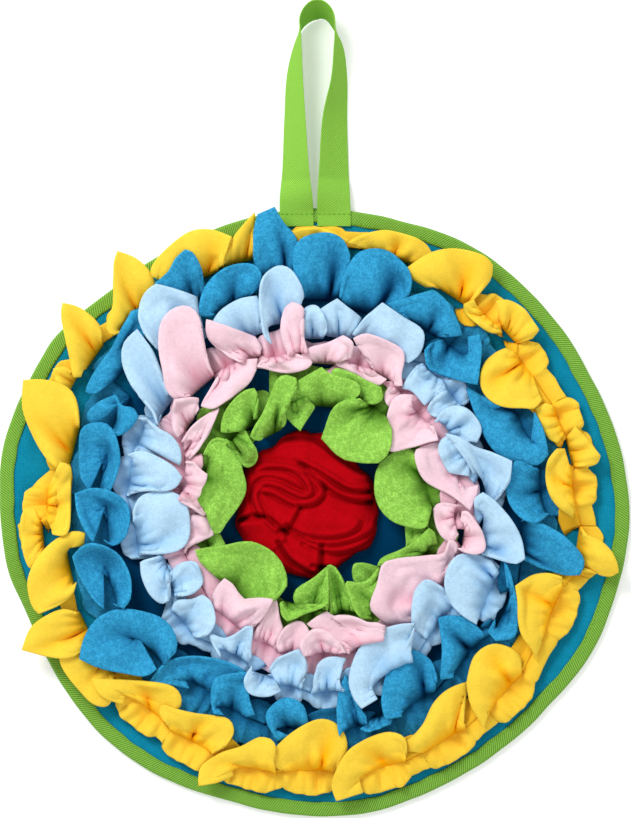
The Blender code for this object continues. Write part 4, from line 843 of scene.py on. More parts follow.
def paint_fold_shade(tree, colour, base, painted_shade):
    """Paint shade into a colour: mix it towards a fuller, darker one, as shade in the folds."""
    node = tree.nodes.new("ShaderNodeAttribute")
    node.attribute_name = "painted_shade"
    # the painted shade's colour: the base squared, times how light the shade stays
    return mix_colour(tree, node.outputs["Fac"], colour, rgba(painted_shade * base ** 2))


def fleece_group():
    """Brushed fleece: a mottled colour and the bumps of its nap and pills, on object space."""
    group = bpy.data.node_groups.get("fleece_nap")
    if group:
        return group
    group, start, end = new_group(
        "fleece_nap", {"Colour": "Color", "Shade": "Color", "Grain": "Float", "Nap": "Float"})
    where = group.nodes.new("ShaderNodeTexCoord").outputs["Object"]
    pills = add_noise(group, where, 760.0, 3.0, 0.65)
    fuzz = add_noise(group, where, 2300.0, 2.0, 0.6)
    mottle = add_noise(group, where, 300.0, 3.0, 0.6)
    broad = add_noise(group, where, 45.0, 2.0, 0.5)
    speck, cloud = (add_math(group, "MULTIPLY", remap(group, noise, low, high, 1.0, 0.0),
                             start.outputs["Grain"])
                    for noise, low, high in ((pills, 0.35, 0.62), (mottle, 0.38, 0.66)))
    patch = remap(group, broad, 0.4, 0.65, 1.0, 0.0)
    shade = weighted_sum(group, (speck, 0.7), (cloud, 0.55), (patch, 0.12))
    feed(group, end.inputs["Colour"],
         mix_colour(group, shade, start.outputs["Colour"], start.outputs["Shade"]))
    height = weighted_sum(group, (pills, 0.75), (fuzz, 0.35))
    feed(group, end.inputs["Normal"], add_bump(group, height, start.outputs["Nap"]))
    return group


def fleece_material(name, base, look):
    """Fleece of one colour, with painted shade down in its folds."""
    material, tree, shader = base_material(name, base, 0.95)
    add_cloth(tree, shader, fleece_group(),
              {"Colour": rgba(base), "Shade": rgba(0.62 * base ** 1.12), "Grain": look.grain,
               "Nap": bpy.context.scene.snuffle_sizes.nap},
              lambda colour: paint_fold_shade(tree, colour, base, look.painted_shade))
    return material


def twill_group():
    """Twill tape on its UV map, along and across: slanting ribs on fine threads.

    The ribs run at a slope across the tape, turning back at its middle where Herringbone is 1.
    """
    group = bpy.data.node_groups.get("twill_tape")
    if group:
        return group
    group, start, end = new_group(
        "twill_tape", {"Colour": "Color", "Pitch": "Float", "Width": "Float",
                       "Herringbone": "Float", "Slope": "Float", "Relief": "Float",
                       "Depth": "Float"})
    given = start.outputs
    coordinates = group.nodes.new("ShaderNodeTexCoord")
    split = group.nodes.new("ShaderNodeSeparateXYZ")
    group.links.new(coordinates.outputs["UV"], split.inputs[0])
    along, across = (add_math(group, "MULTIPLY", split.outputs[axis], 1000.0) for axis in "XY")
    half = add_math(group, "MULTIPLY", given["Width"], 0.5)
    folded = add_math(group, "ABSOLUTE", add_math(group, "SUBTRACT", across, half))
    plain_weave = add_math(group, "SUBTRACT", 1.0, given["Herringbone"])
    level = weighted_sum(group, (across, plain_weave), (folded, given["Herringbone"]))
    slant = weighted_sum(group, (along, 1.0), (level, given["Slope"]))
    rib = add_ribs(group, add_math(group, "DIVIDE", slant, given["Pitch"]))
    thread = add_ribs(group, add_math(group, "DIVIDE", across, 0.55))
    grain = add_noise(group, coordinates.outputs["Object"], 900.0, 2.0, 0.6)
    low = mix_colour(group, given["Depth"], given["Colour"], (0.24, 0.38, 0.15, 1.0), "MULTIPLY")
    high = mix_colour(group, 0.14, given["Colour"], (0.75, 1.0, 0.35, 1.0))
    tone = weighted_sum(group, (rib, 1.0), (grain, 0.4))
    feed(group, end.inputs["Colour"], mix_colour(group, tone, low, high))
    height = weighted_sum(group, (rib, 0.8), (thread, 0.2), (grain, 0.3))
    feed(group, end.inputs["Normal"], add_bump(group, height, given["Relief"]))
    return group


def tape_material(name, colour, tape):
    """Woven tape of one colour."""
    base = tape.tone * colour
    material, tree, shader = base_material(name, base, 0.8)
    add_cloth(tree, shader, twill_group(),
              {"Colour": rgba(base), "Pitch": tape.pitch, "Width": tape.width,
               "Herringbone": tape.herringbone, "Slope": tape.slope, "Relief": 0.0003,
               "Depth": tape.depth})
    return material


def ground_material(name, base):
    """Plain woven ground cloth with a fine grid of threads, a little lint and painted shade."""
    material, tree, shader = base_material(name, base, 0.85)
    where = tree.nodes.new("ShaderNodeTexCoord").outputs["Object"]
    split = tree.nodes.new("ShaderNodeSeparateXYZ")
    tree.links.new(where, split.inputs[0])
    weave = add_math(tree, "MULTIPLY", *(
        add_ribs(tree, add_math(tree, "DIVIDE", split.outputs[axis], 0.0011)) for axis in "XY"))
    cloud = add_noise(tree, where, 60.0, 3.0, 0.6)
    lint = add_noise(tree, where, 500.0, 2.0, 0.7)
    tone = weighted_sum(tree, (weave, 0.3), (cloud, 0.5), (lint, 0.4))
    light = np.minimum(1.35 * base + 0.01, 1.0)
    # painted shade mixed in by the points' painted_shade attribute
    woven = paint_fold_shade(tree, mix_colour(tree, tone, rgba(0.6 * base), rgba(light)), base, 0.8)
    feed(tree, shader.inputs["Base Color"], woven)
    feed(tree, shader.inputs["Normal"],
         add_bump(tree, add_math(tree, "ADD", weave, lint), 0.00025))
    return material


def thread_material(name, base):
    """Sewing thread: slightly glossy, with a twist along it."""
    material, tree, shader = base_material(name, base, 0.5)
    where = tree.nodes.new("ShaderNodeTexCoord").outputs["Object"]
    lint = add_noise(tree, where, 1500.0, 2.0, 0.6)
    feed(tree, shader.inputs["Base Color"],
         mix_colour(tree, lint, rgba(0.6 * base), rgba(base)))
    return material


def get_material(name):
    """The material of that name, made the first time that it is asked for.

    Its name is how the cloth is made, then which cloth it is.
    """
    made = bpy.data.materials.get(name)
    if made:
        return made
    way, cloth = name.split("_")
    colours = bpy.context.scene.snuffle_colours
    if way == "woven":
        return ground_material(name, np.array(colours.ground))
    if way == "twill":
        return tape_material(name, np.array(colours.tape), TAPES[cloth])
    if way == "spun":
        return thread_material(name, np.array(colours.tape))
    return fleece_material(name, np.array(getattr(colours, cloth)), FLEECES[cloth])


# ---------------------------------------------------------------- ground cloth and tapes

def fan(ring, hub):
    """Triangles from each two neighbours of a closed ring of points to a point at its hub."""
    return np.stack([np.roll(ring, -1), ring, np.full(len(ring), hub)], axis=1)


def make_ground():
    """Ground cloth: a disc, flat underneath, that rises a little on to the folded tape.

    A point is its clock angle and its inset from the edge. Both faces rise with the inset,
    the upper one also has slow swells of up to half a millimetre, and the rim is closed.
    """
    sides = 240
    clock = np.arange(sides) * 360.0 / sides
    edge = rim_radius(clock)[:, None]
    share = np.concatenate([np.linspace(0.02, 0.86, 18), np.linspace(0.875, 1.0, 16)])[None, :]
    columns = share.size
    radius = share * (edge - CLOTH_INSET)
    plan = place(np.broadcast_to(clock[:, None], radius.shape), radius)
    swell = SWELL * waves(plan[..., 0] / 61 + 3, 1) * waves(plan[..., 1] / 57, 2)
    swell = np.abs(swell) * smooth_step((edge - radius - BINDING_COVER) / 20)
    lower = cloth_rise(edge - radius)
    upper = lower + CLOTH_THICKNESS + np.minimum(swell, SWELL_LIMIT) - SWELL_SINK
    points = [with_height(plan, z).reshape(-1, 3) for z in (lower, upper)]
    hub = np.array([[0, 0, 0.0], [0, 0, CLOTH_THICKNESS - SWELL_SINK]])
    count = sides * columns
    faces = grid_faces(sides, columns, wrap_rows=True)
    inner = np.arange(sides) * columns
    outer = inner + columns - 1
    after = np.roll(outer, -1)
    rim = np.stack([outer, after, after + count, outer + count], axis=1)
    # painted shade: the cloth's colour darkens inwards from SHADE_START, under the rings
    painted_shade = smooth_step((edge - radius - SHADE_START) / SHADE_SPAN).ravel()
    ground = make_piece("ground_cloth_disc", np.vstack([*points, hub]),
                        np.vstack([faces, faces[:, ::-1] + count, rim]),
                        get_material("woven_ground"), painted_shade=np.concatenate([painted_shade, painted_shade, [1, 1]]),
                        triangles=np.vstack([fan(inner, 2 * count),
                                             fan(inner + count, 2 * count + 1)]))
    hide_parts("base_cloth")
    return ground


def tape_section():
    """Section of the folded tape: inset from the edge, height and distance along the tape.

    It starts at the upper selvedge, goes out over the edge, round it and back underneath, then
    returns along the inner face, so that it is one closed line round a millimetre of tape.
    """
    half = TAPE_THICKNESS / 2
    top = RIM_RISE + CLOTH_THICKNESS + SEAT_GAP + half
    bend = np.linspace(0, math.pi, 11)
    radius = (top - half) / 2
    nose = np.column_stack([NOSE_INSET + NOSE_LENGTH * (1 - np.sin(bend)),
                            half + radius + radius * np.cos(bend)])
    flat = np.linspace(BINDING_COVER - 0.4, NOSE_START, 9)
    crown = top + BINDING_CROWN * np.sin(np.linspace(0, math.pi, 9))
    middle = np.concatenate([np.column_stack([flat, crown]), nose,
                             np.column_stack([flat[::-1], np.full(9, half)])])
    step = unit(np.gradient(middle, axis=0))
    across = np.column_stack([step[:, 1], -step[:, 0]])
    along = gone_along(middle)
    end = np.minimum(np.minimum(along, along[-1] - along) / half, 1.0)
    thin = half * np.sqrt(np.maximum(1 - (1 - end) ** 2, 0.02))[:, None]
    outer, inner = middle + across * thin, middle - across * thin
    return np.vstack([outer, inner[::-1]]), np.concatenate([along, along[::-1]])


def grid_uv(along, across):
    """UV of a grid of points in metres from its places along and across in millimetres."""
    return np.stack(np.broadcast_arrays(along[:, None] * MM, across[None, :] * MM),
                    axis=-1).reshape(-1, 2)


def make_binding(stitches):
    """Binding: the folded tape's closed section carried round the rim, with slight puckers.

    A point is a place on the section at a clock angle. The edge and the upper selvedge wander
    by a few tenths of a millimetre and the upper face puckers.
    """
    section, along = tape_section()
    inset, level = section.T[:, None, :]
    stations = 960
    clock = np.arange(stations) * 360.0 / stations
    edge = rim_radius(clock) + EDGE_WANDER * waves(clock / 19, 5, 3)
    selvedge = SELVEDGE_WANDER * waves(clock / 7.3, 7, 2)[:, None]
    selvedge = selvedge * smooth_step((inset - 8) / 3)
    radius = edge[:, None] - inset + selvedge
    pucker = PUCKER * waves(clock / 3.1, 6, 2)
    height = level + pucker[:, None] * smooth_step((level - 2.5) / 2)
    plan = place(np.broadcast_to(clock[:, None], radius.shape), radius)
    binding = make_piece("rim_binding", with_height(plan, height).reshape(-1, 3),
                         grid_faces(stations, len(section), True, True),
                         get_material("twill_binding"),
                         grid_uv(np.radians(clock) * MEAN_RIM, along))
    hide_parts("edge_binding")
    return binding


def make_stitches(name, clock, radius, surface):
    """A row of stitches on a surface, each a short bent thread: six sides, seven places.

    A stitch rises from its first hole, runs along the cloth and dives at its last, with its
    thread thinnest at the holes.
    """
    u = np.linspace(-1, 1, 7)
    turn = np.arange(6) * 2 * math.pi / 6
    along = 0.5 * STITCH_SHARE * bpy.context.scene.snuffle_sizes.stitch / MM * u
    rise = STITCH_RISE * (1 - u ** 4) - STITCH_SINK
    thick = THREAD_RADIUS * np.sqrt(np.maximum(1 - u ** 2, 0.12))[:, None]
    ring = np.stack([np.broadcast_to(along[:, None], (7, 6)), thick * np.cos(turn),
                     rise[:, None] + thick * np.sin(turn)], axis=-1)
    axes = np.zeros((len(clock), 1, 3, 3))
    axes[:, 0, 0, :2] = direction(clock + 90.0)
    axes[:, 0, 1, :2] = direction(clock)
    axes[:, 0, 2, 2] = 1.0
    start = np.column_stack([place(clock, radius), surface + STITCH_SINK])
    points = start[:, None, None, :] + ring @ axes
    caps = np.array([[0, 1, 2, 3], [0, 3, 4, 5], [36, 39, 38, 37], [36, 41, 40, 39]])
    one = np.vstack([grid_faces(7, 6, wrap_columns=True), caps])
    faces = (one[None] + (np.arange(len(clock)) * 42)[:, None, None]).reshape(-1, 4)
    stitches = make_piece(name, points.reshape(-1, 3), faces, get_material("spun_thread"))
    return stitches


def make_binding_stitches():
    """Thread of the binding's seam: a row of stitches near its inner edge."""
    count = int(2 * math.pi * SEAM_COUNT_RADIUS * MM / bpy.context.scene.snuffle_sizes.stitch)
    clock = np.arange(count) * 360.0 / count
    radius = rim_radius(clock) - BINDING_COVER + SEAM_INSET
    radius = radius + SEAM_WANDER * waves(clock / 9, 8, 2)
    return make_stitches("binding_stitches", clock, radius,
                         np.full(count, BINDING_TOP))


def make_loop_stitches():
    """Thread of the two seams that hold the loop's feet, one straight across each foot."""
    sizes = bpy.context.scene.snuffle_sizes
    half = sizes.loop / MM / 2
    u = np.linspace(-0.88, 0.88, int(sizes.loop / sizes.stitch))
    x = np.concatenate([LOOP[1].x + u * half, LOOP[-2].x + u * half])
    surface = LOOP_REST_HEIGHT + 0.45 + LOOP_CUP * (1 - np.tile(u, 2) ** 2)
    return make_stitches("loop_stitches", np.degrees(np.arctan2(x, LOOP_SEAM)),
                         np.hypot(x, LOOP_SEAM), surface)


def loop_frame(stations, half):
    """Middle line of the loop's tape with its across directions and the distance along it."""
    path = catmull_rom([(row.x, row.y, row.twist) for row in LOOP], stations)
    along = unit(np.gradient(path[:, :2], axis=0))
    inward = np.column_stack([along[:, 1], -along[:, 0]])
    twist = np.radians(path[:, 2])
    landed = smooth_step((path[:, 1] - LOOP_LANDING[0]) / (LOOP_LANDING[1] - LOOP_LANDING[0]))
    tilt = half * np.sin(twist)
    height = np.maximum(tilt + TAPE_THICKNESS, (LOOP_REST_HEIGHT + tilt) * (1 - landed))
    across = np.column_stack([inward * np.cos(twist)[:, None], np.sin(twist)])
    middle = np.column_stack([path[:, :2], height])
    return middle, across, gone_along(middle)


def make_loop(stitches):
    """Hanging loop: a tape that turns on to its edge on the way to its bend.

    A point is a station along the middle line and a place across the tape; the tape is a
    little cupped, and each side of its thickness is rounded off at the selvedges.
    """
    stations = 260
    half = bpy.context.scene.snuffle_sizes.loop / MM / 2
    middle, across, along = loop_frame(stations, half)
    normal = np.cross(across, unit(np.gradient(middle, axis=0)))[:, None, :]
    u = np.concatenate([[-1, -0.985, -0.95], np.linspace(-0.9, 0.9, 17), [0.95, 0.985, 1]])
    border = ((np.abs(u) - 0.955) / 0.045).clip(0)
    thin = np.maximum(0.45 * TAPE_THICKNESS * np.sqrt(np.clip(1 - border ** 2, 0, 1)), 0.05)
    plane = middle[:, None, :] + (u * half)[None, :, None] * across[:, None, :]
    sides = [plane + (LOOP_CUP * (1 - u ** 2) + side * thin)[None, :, None] * normal
             for side in (1, -1)]
    columns = len(u)
    points = np.concatenate([sides[0], sides[1][:, ::-1]], axis=1)
    c = np.arange(columns - 1)
    cap = np.stack([c, c + 1, 2 * columns - 2 - c, 2 * columns - 1 - c], 1)
    faces = np.vstack([grid_faces(stations, 2 * columns, wrap_columns=True), cap[:, ::-1],
                       cap + (stations - 1) * 2 * columns])
    loop = make_piece("loop_tape", points.reshape(-1, 3), faces, get_material("twill_loop"),
                      grid_uv(along, np.concatenate([u, u[::-1]]) * half + half))
    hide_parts("hanging_loop")
    return loop


# ---------------------------------------------------------------- petals

# Shares across a petal and from its root to its edge, closer together along the borders.
COLUMNS = np.concatenate([[-1, -0.99, -0.965, -0.93], np.linspace(-0.87, 0.87, 27),
                          [0.93, 0.965, 0.99, 1]])
ROWS = np.concatenate([[0, 0.02, 0.05, 0.085], np.linspace(0.125, 0.9, 19),
                       [0.935, 0.962, 0.982, 0.995, 1]])
FRILL_ROWS = np.array((0, 0.025, 0.07, 0.14, 0.24, 0.36, 0.48, 0.6, 0.72, 0.84, 0.93, 0.975, 1))
GAP_COLUMNS = np.array((0.06, 0.2, 0.4, 0.6, 0.8, 0.94))
FRILL_STEP = len(COLUMNS) + len(GAP_COLUMNS)      # a frill's columns from petal to petal
TONGUE_COLUMNS = np.array((-1, -0.72, -0.26, 0.26, 0.72, 1))
TONGUE_ROWS = np.array((0, 0.12, 0.28, 0.46, 0.64, 0.8, 0.91, 0.97, 1))
EDGE_STEPS = 12           # of a free edge's curve between two of its places
KNOTS = 9                 # each way, by which a petal is lifted
LAY_PASSES = 9
LAY_DONE = 0.05           # shortfall at which a petal lies well enough
ROOT_KEPT = 0.1           # share of a petal from its root that isn't checked


def root_widths(petals):
    """Width of each petal's root: a share of the way from one neighbour to the other."""
    roots = np.array([place(petal.at, petal.out) for petal in petals])
    step = np.linalg.norm(np.roll(roots, -1, axis=0) - roots, axis=1)
    return np.clip(ROOT_SHARE * np.minimum(step, np.roll(step, 1)), *ROOT_LIMITS)


def root_line(petal, width):
    """Points of a petal's root, one for each column."""
    return place(petal.at, petal.out) + direction(petal.at + 90.0) * (
        COLUMNS[:, None] * width / 2)


def free_edge(petal):
    """Places and rises along a petal's free edge, one for each column.

    Smooth curves run from corner to corner, and the columns are spread evenly along them
    with one column on each corner.
    """
    rows = [Edge(*row) for row in petal.edge]
    spots = np.array([(*place(row.clock, row.radius), row.rise) for row in rows])
    last = len(rows) - 1
    cuts = [0, *(i for i in range(1, last) if rows[i].corner), last]
    runs = [catmull_rom(spots[a:b + 1], EDGE_STEPS * (b - a) + 1)
            for a, b in zip(cuts, cuts[1:])]
    curve = np.vstack([runs[0]] + [run[1:] for run in runs[1:]])
    gone = gone_along(curve[:, :2])
    gone /= gone[-1]
    share = (COLUMNS + 1) / 2
    ends = gone[[EDGE_STEPS * cut for cut in cuts]]
    near = np.abs(share[None, :] - ends[:, None]).argmin(axis=1)
    if len(set(near)) == len(near):
        share = np.interp(share, share[near], ends)
    return np.stack([np.interp(share, gone, curve[:, k]) for k in range(3)], axis=1)


def petal_plan(petal, width):
    """Plan of a petal, columns x rows x 2: straight rays from its root to its free edge."""
    t = ROWS[None, :, None]
    return root_line(petal, width)[:, None] * (1 - t) + free_edge(petal)[:, None, :2] * t


def leans_outward(petal):
    """Whether a petal lies outside its root."""
    return sum(row[1] for row in petal.edge) / len(petal.edge) > petal.out


def pinch(petal):
    """How far the gathering thread draws each column of the root down, from 0 to 1."""
    return np.exp(-((COLUMNS - petal.fold) / PINCH_WIDTH) ** 2) * (petal.depth >= 0)


def root_rise(petal):
    """Rise of the seam along a petal's root: nil outwards, else all but the pinch."""
    return PINCH_DEPTH * (1 - pinch(petal)) * (not leans_outward(petal))


def petal_height(petal, seed):
    """Height of a petal over its seam.

    Straight slopes to the rises of the free edge, with a dome or a cup between, on a steep
    collar if it leans outwards, or on a pinched root if it leans inwards. The crease opens
    from the pinch, gathers run out from the root and die away, and lesser folds follow the
    rays.
    """
    s, t = COLUMNS[:, None], ROWS[None, :]
    rng = np.random.default_rng(SEED + 500 + seed)
    drawn = pinch(petal)[:, None]
    rise = EDGE_RISE * free_edge(petal)[:, 2:]
    body = rise * t ** 1.3 + 4 * petal.dome * t * (1 - t) * (1 - 0.35 * s ** 2)
    if leans_outward(petal):
        crease = PINCH_DEPTH * drawn * (1 - t) ** 1.5 * np.sqrt(t)
        root = COLLAR_HEIGHT * (1 - np.exp(-t / 0.06)) - crease
    else:
        root = PINCH_DEPTH * (1 - drawn * (1 - t) ** 2)
    grown = smooth_step(t / 0.15)
    gather = np.sin(2 * math.pi * (2.3 * s + rng.random())) * np.exp(-(t / 0.4) ** 2)
    bend = petal.fold + 0.35 * (rng.random() - 0.5) * t
    groove = np.exp(-((s - bend) / (0.09 + 0.2 * t)) ** 2) * (1 - 0.75 * t ** 2)
    folds = sum(size * np.exp(-((s - where) / wide) ** 2) * np.sin(math.pi * t ** 0.8) ** 0.7
                for where, wide, size in zip(rng.uniform(-0.85, 0.85, 4),
                                             rng.uniform(0.1, 0.24, 4),
                                             rng.choice((-1, 1), 4) * rng.uniform(0.8, 2.0, 4)))
    edge = waves(s * 1.1, 700 + seed, 2) * t ** 3
    return root + body + grown * (GATHER * gather - CREASE * petal.depth * groove + folds
                                  + EDGE_WAVE * edge)


def petal_painted_shade(petal):
    """How much painted shade each point of a petal gets: most at its root and in its crease."""
    s, t = COLUMNS[:, None], ROWS[None, :]
    root = np.exp(-(t / 0.26) ** 2)
    groove = np.exp(-((s - petal.fold) / (0.1 + 0.14 * t)) ** 2) * (1 - t ** 1.5)
    return np.clip(0.85 * root + 0.13 * max(petal.depth, 0) * groove, 0.0, 1.0)


def wall_share(grid, columns, rows, half):
    """Share of the full wall at each point of a petal: a rounded border on its free sides."""
    s, t = columns[:, None], rows[None, :]
    ray = np.linalg.norm(grid[:, -1, :2] - grid[:, 0, :2], axis=1)[:, None]
    breadth = np.linalg.norm(grid[-1, :, :2] - grid[0, :, :2], axis=1)[None, :] / 2
    away = np.minimum((1 - t) * ray, (1 - np.abs(s)) * breadth)
    share = np.sqrt(1 - (1 - np.clip(away / half, 0.0, 1.0)) ** 2)
    share[:, -1] = 0.0
    share[[0, -1], :] = 0.0
    return share


class HeightMap:
    """Highest sheet over each cell of the mat, for laying one more petal over all of them."""

    def __init__(self, thickness):
        size = int(2 * MAP_HALF / CELL)
        self.height = np.full((size, size), MAP_EMPTY)
        self.thickness = thickness
        reach = thickness + LAY_CLEARANCE
        steps = range(-math.ceil(reach / CELL), math.ceil(reach / CELL) + 1)
        self.ball = [(i, j, math.sqrt(max(reach ** 2 - (CELL * math.hypot(i, j)) ** 2, 0)))
                     for i in steps for j in steps
                     if CELL * math.hypot(i, j) <= reach + CELL / 2]

    def cells(self, points):
        """Row and column of the cell under each point."""
        index = ((points[..., :2] + MAP_HALF) / CELL).astype(int)
        return np.clip(index, 3, len(self.height) - 4)

    def add(self, points):
        """Raise the map to points on a sheet."""
        index = self.cells(points).reshape(-1, 2)
        np.maximum.at(self.height, (index[:, 0], index[:, 1]), points[..., 2].ravel())

    def clear_height(self, points):
        """Lowest middle height at which one more sheet clears what lies under the points."""
        index = self.cells(points)
        return np.max([self.height[index[..., 0] + i, index[..., 1] + j] + rise
                       for i, j, rise in self.ball], axis=0)

    def shortfall(self, grid, rows):
        """How far each point of a sheet is below its clear height, but for its root."""
        short = (self.clear_height(grid) - grid[..., 2]).clip(0)
        short[:, rows < ROOT_KEPT] = 0.0
        return short


def dense(grid, columns, rows):
    """Resample a grid of points linearly, to many points on its faces."""
    u = np.linspace(0, grid.shape[0] - 1, columns)
    v = np.linspace(0, grid.shape[1] - 1, rows)
    i = np.minimum(u.astype(int), grid.shape[0] - 2)
    j = np.minimum(v.astype(int), grid.shape[1] - 2)
    a, b = (u - i)[:, None, None], (v - j)[None, :, None]
    return ((grid[i][:, j] * (1 - a) + grid[i + 1][:, j] * a) * (1 - b)
            + (grid[i][:, j + 1] * (1 - a) + grid[i + 1][:, j + 1] * a) * b)


def knot_weights(values, knots):
    """Smooth weights of each knot at each value, which add up to one."""
    spread = 0.62 * (knots[-1] - knots[0]) / (len(knots) - 1)
    weights = np.exp(-((values[:, None] - knots[None, :]) / spread) ** 2)
    return weights / weights.sum(axis=1, keepdims=True)


def lay(grid, heights, columns, rows):
    """Lift a petal in smooth swells until it clears all that lies under it.

    At each pass every knot rises by the largest shortfall near it, and the swell between the
    knots is blended. The root stays down, and what is still short at the end is made up.
    """
    grid = grid.copy()
    lift_s = knot_weights(columns, np.linspace(-1, 1, KNOTS))
    lift_t = knot_weights(rows, np.linspace(0, 1, KNOTS))
    free = smooth_step(rows / 0.12)
    near_s, near_t = lift_s > 0.25, lift_t > 0.25
    for _ in range(LAY_PASSES):
        short = heights.shortfall(grid, rows)
        if short.max() <= LAY_DONE:
            break
        reach = (short[:, :, None, None] * near_s[:, None, :, None]
                 * near_t[None, :, None, :]).max(axis=(0, 1))
        grid[..., 2] += 0.75 * (lift_s @ reach @ lift_t.T) * free
    grid[..., 2] += heights.shortfall(grid, rows)
    return grid


def covers(grid, points):
    """Whether any of the points lies under a petal's plan, or close to it."""
    spots = dense(grid, 17, 25)[:, 5:, :2].reshape(-1, 2)
    gap = spots[:, None, :] - points[None, :, :]
    return bool((np.einsum("ijk,ijk->ij", gap, gap) < 3.0 ** 2).any())


def laying_order(grids, petals):
    """Order in which each petal comes after every petal whose root it covers."""
    roots = [grid[::6, 0, :2] for grid in grids]
    middles = [place(petal.at, petal.out) for petal in petals]
    under = {i: set() for i in range(len(grids))}
    for i, j in ((i, j) for i in under for j in under if i != j):
        if np.linalg.norm(middles[i] - middles[j]) < PETAL_REACH and covers(grids[i], roots[j]):
            under[i].add(j)
    order = []
    while under:
        free = [i for i in under if not under[i]] or [min(under, key=lambda i: len(under[i]))]
        pick = min(free, key=lambda i: (petals[i].order, i))
        order.append(pick)
        del under[pick]
        for left in under.values():
            left.discard(pick)
    return order


def seam_height(points):
    """Middle of a sewn strip's thickness, where it lies on the cloth."""
    return cloth_top(points) + STRIP_SEAT + bpy.context.scene.snuffle_sizes.fleece / MM / 2


def seam_radius(petals, clock):
    """Radius of a ring's seam at clock angles, straight between its roots."""
    at = np.array([petal.at for petal in petals])
    out = np.array([petal.out for petal in petals])
    return np.interp(np.mod(clock, 360), at, out, period=360)


def frill_ends(ring, outer):
    """Both ends of each column of a ring's frill: those of a petal, then of the gap after it.

    A row is the plan of the seam, the plan of the edge, the seam's rise, how far a crease
    runs out into the frill, and 1 where the petal leans inwards. The edge stops short of
    the next ring's seam or the binding, and a gap's rows ease from petal to petal.
    """
    parts = []
    for petal, width in zip(ring.petals, root_widths(ring.petals)):
        seam = root_line(petal, width)
        clock = np.degrees(np.arctan2(seam[:, 0], seam[:, 1]))
        limit = (seam_radius(outer, clock) - FRILL_GAP if outer
                 else rim_radius(clock) - BINDING_COVER - BINDING_GAP)
        reach = np.minimum(petal.out + ring.frill - FRILL_NOTCH * COLUMNS ** 4, limit)
        reach = np.maximum(reach, petal.out + FRILL_LEAST)
        inward = float(not leans_outward(petal))
        parts.append(np.column_stack([seam, place(clock, reach), root_rise(petal),
                                      pinch(petal) * inward, np.full(len(COLUMNS), inward)]))
    ease = smooth_step(GAP_COLUMNS)[:, None]
    return np.vstack([rows for part, after in zip(parts, parts[1:] + parts[:1])
                      for rows in (part, part[-1] * (1 - ease) + after[0] * ease)])


def frill_grid(ring, outer):
    """A ring's frill, columns x rows x 3.

    A column runs from the outer edge to the seam. Its height eases from the edge's rise to
    the seam's, over a hump, with the petals' creases running out into it, with a ruffled
    edge and with pleats that fan out from the seam.
    """
    ends = frill_ends(ring, outer)
    seam, edge = ends[:, :2], ends[:, 2:4]
    rises, creases, inward = ends[:, 4:].T[..., None]
    v = FRILL_ROWS[None, :]
    arc = gone_along(edge)
    closing = smooth_step(np.minimum(arc, arc[-1] - arc) / CLOSING)[:, None]
    ruffle = waves(arc / RUFFLE_WIDTH, len(ring.petals), 3)[:, None] * (1 - v) ** 1.4 * closing
    pleats = waves(arc / PLEAT_WIDTH, 40 + len(ring.petals), 2)[:, None] * closing
    plan = edge[:, None] * (1 - v[..., None]) + seam[:, None] * v[..., None]
    plan = plan + unit(edge)[:, None] * (RUFFLE_REACH * ruffle)[..., None]
    base = seam_height(edge)[:, None] * (1 - v) + seam_height(seam)[:, None] * v
    rise = FRILL_RISE * inward * (1 - v) + rises * v
    arch = 4 * v * (1 - v)
    hump = FRILL_HUMP * inward * (1 - creases) * arch
    hump = hump + PLEAT * (0.4 + pleats) * arch * (0.35 + 0.65 * inward)
    furrow = FURROW * creases * v ** 2 * (1 - v)
    height = base + rise + hump - furrow + RUFFLE_RISE * np.abs(ruffle) * inward
    return with_height(plan, height)


def tongues(ring, frill):
    """The cloth between the roots of a ring's petals, as far as it runs inwards.

    Each tongue starts at the seam between two roots and fans out below the petals on both
    sides, down from the seam to the cloth. Gives them by the frill's column at which the gap
    starts, and none where both petals lean outwards.
    """
    s, t = TONGUE_COLUMNS[:, None], TONGUE_ROWS[None, :]
    made = {}
    for number, petal in enumerate(ring.petals):
        after = ring.petals[(number + 1) % len(ring.petals)]
        if leans_outward(petal) and leans_outward(after):
            continue
        first = number * FRILL_STEP + len(COLUMNS)
        seam = frill[first:first + len(GAP_COLUMNS), -1]
        middle = seam[:, :2].mean(axis=0)
        inward = -middle / np.linalg.norm(middle)
        width = np.linalg.norm(seam[-1, :2] - seam[0, :2])
        across = (seam[-1, :2] - seam[0, :2]) / width
        along = np.array((inward[1], -inward[0]))
        along *= np.sign(along @ across)
        reach = TONGUE_REACH * (0.25 + 0.75 * (along @ across) ** 2)
        end = (middle + inward * reach * (1 - 0.4 * s ** 2)
               + along * s * (width / 2 + TONGUE_SPREAD))
        plan = seam[:, None, :2] * (1 - t[..., None]) + end[:, None, :] * t[..., None]
        drop = (seam[:, 2] - seam_height(seam[:, :2]))[:, None] * (1 - t) ** 0.8
        height = seam_height(plan) + drop + TONGUE_HUMP * np.sin(math.pi * t) * np.cos(2.4 * s)
        made[first] = with_height(plan, height)
    return made


def frill_wall(grid, half):
    """Share of the full wall over a frill: rounded at its outer edge and where no petal is."""
    v = FRILL_ROWS[None, :]
    breadth = np.linalg.norm(grid[:, -1, :2] - grid[:, 0, :2], axis=1)[:, None]
    beside = np.abs(np.append(COLUMNS, np.full(len(GAP_COLUMNS), 9.0)))
    beside = np.tile(beside, len(grid) // FRILL_STEP)
    root = np.clip((1 - beside) * 8.0 / half, 0, 1)[:, None]
    inner = np.maximum(np.clip((1 - v) * breadth / half, 0, 1), root)
    away = np.minimum(np.clip(v * breadth / half, 0, 1), inner)
    share = np.sqrt(1 - (1 - away) ** 2)
    share[:, 0] = 0.0
    share[beside >= 1, -1] = 0.0
    return share


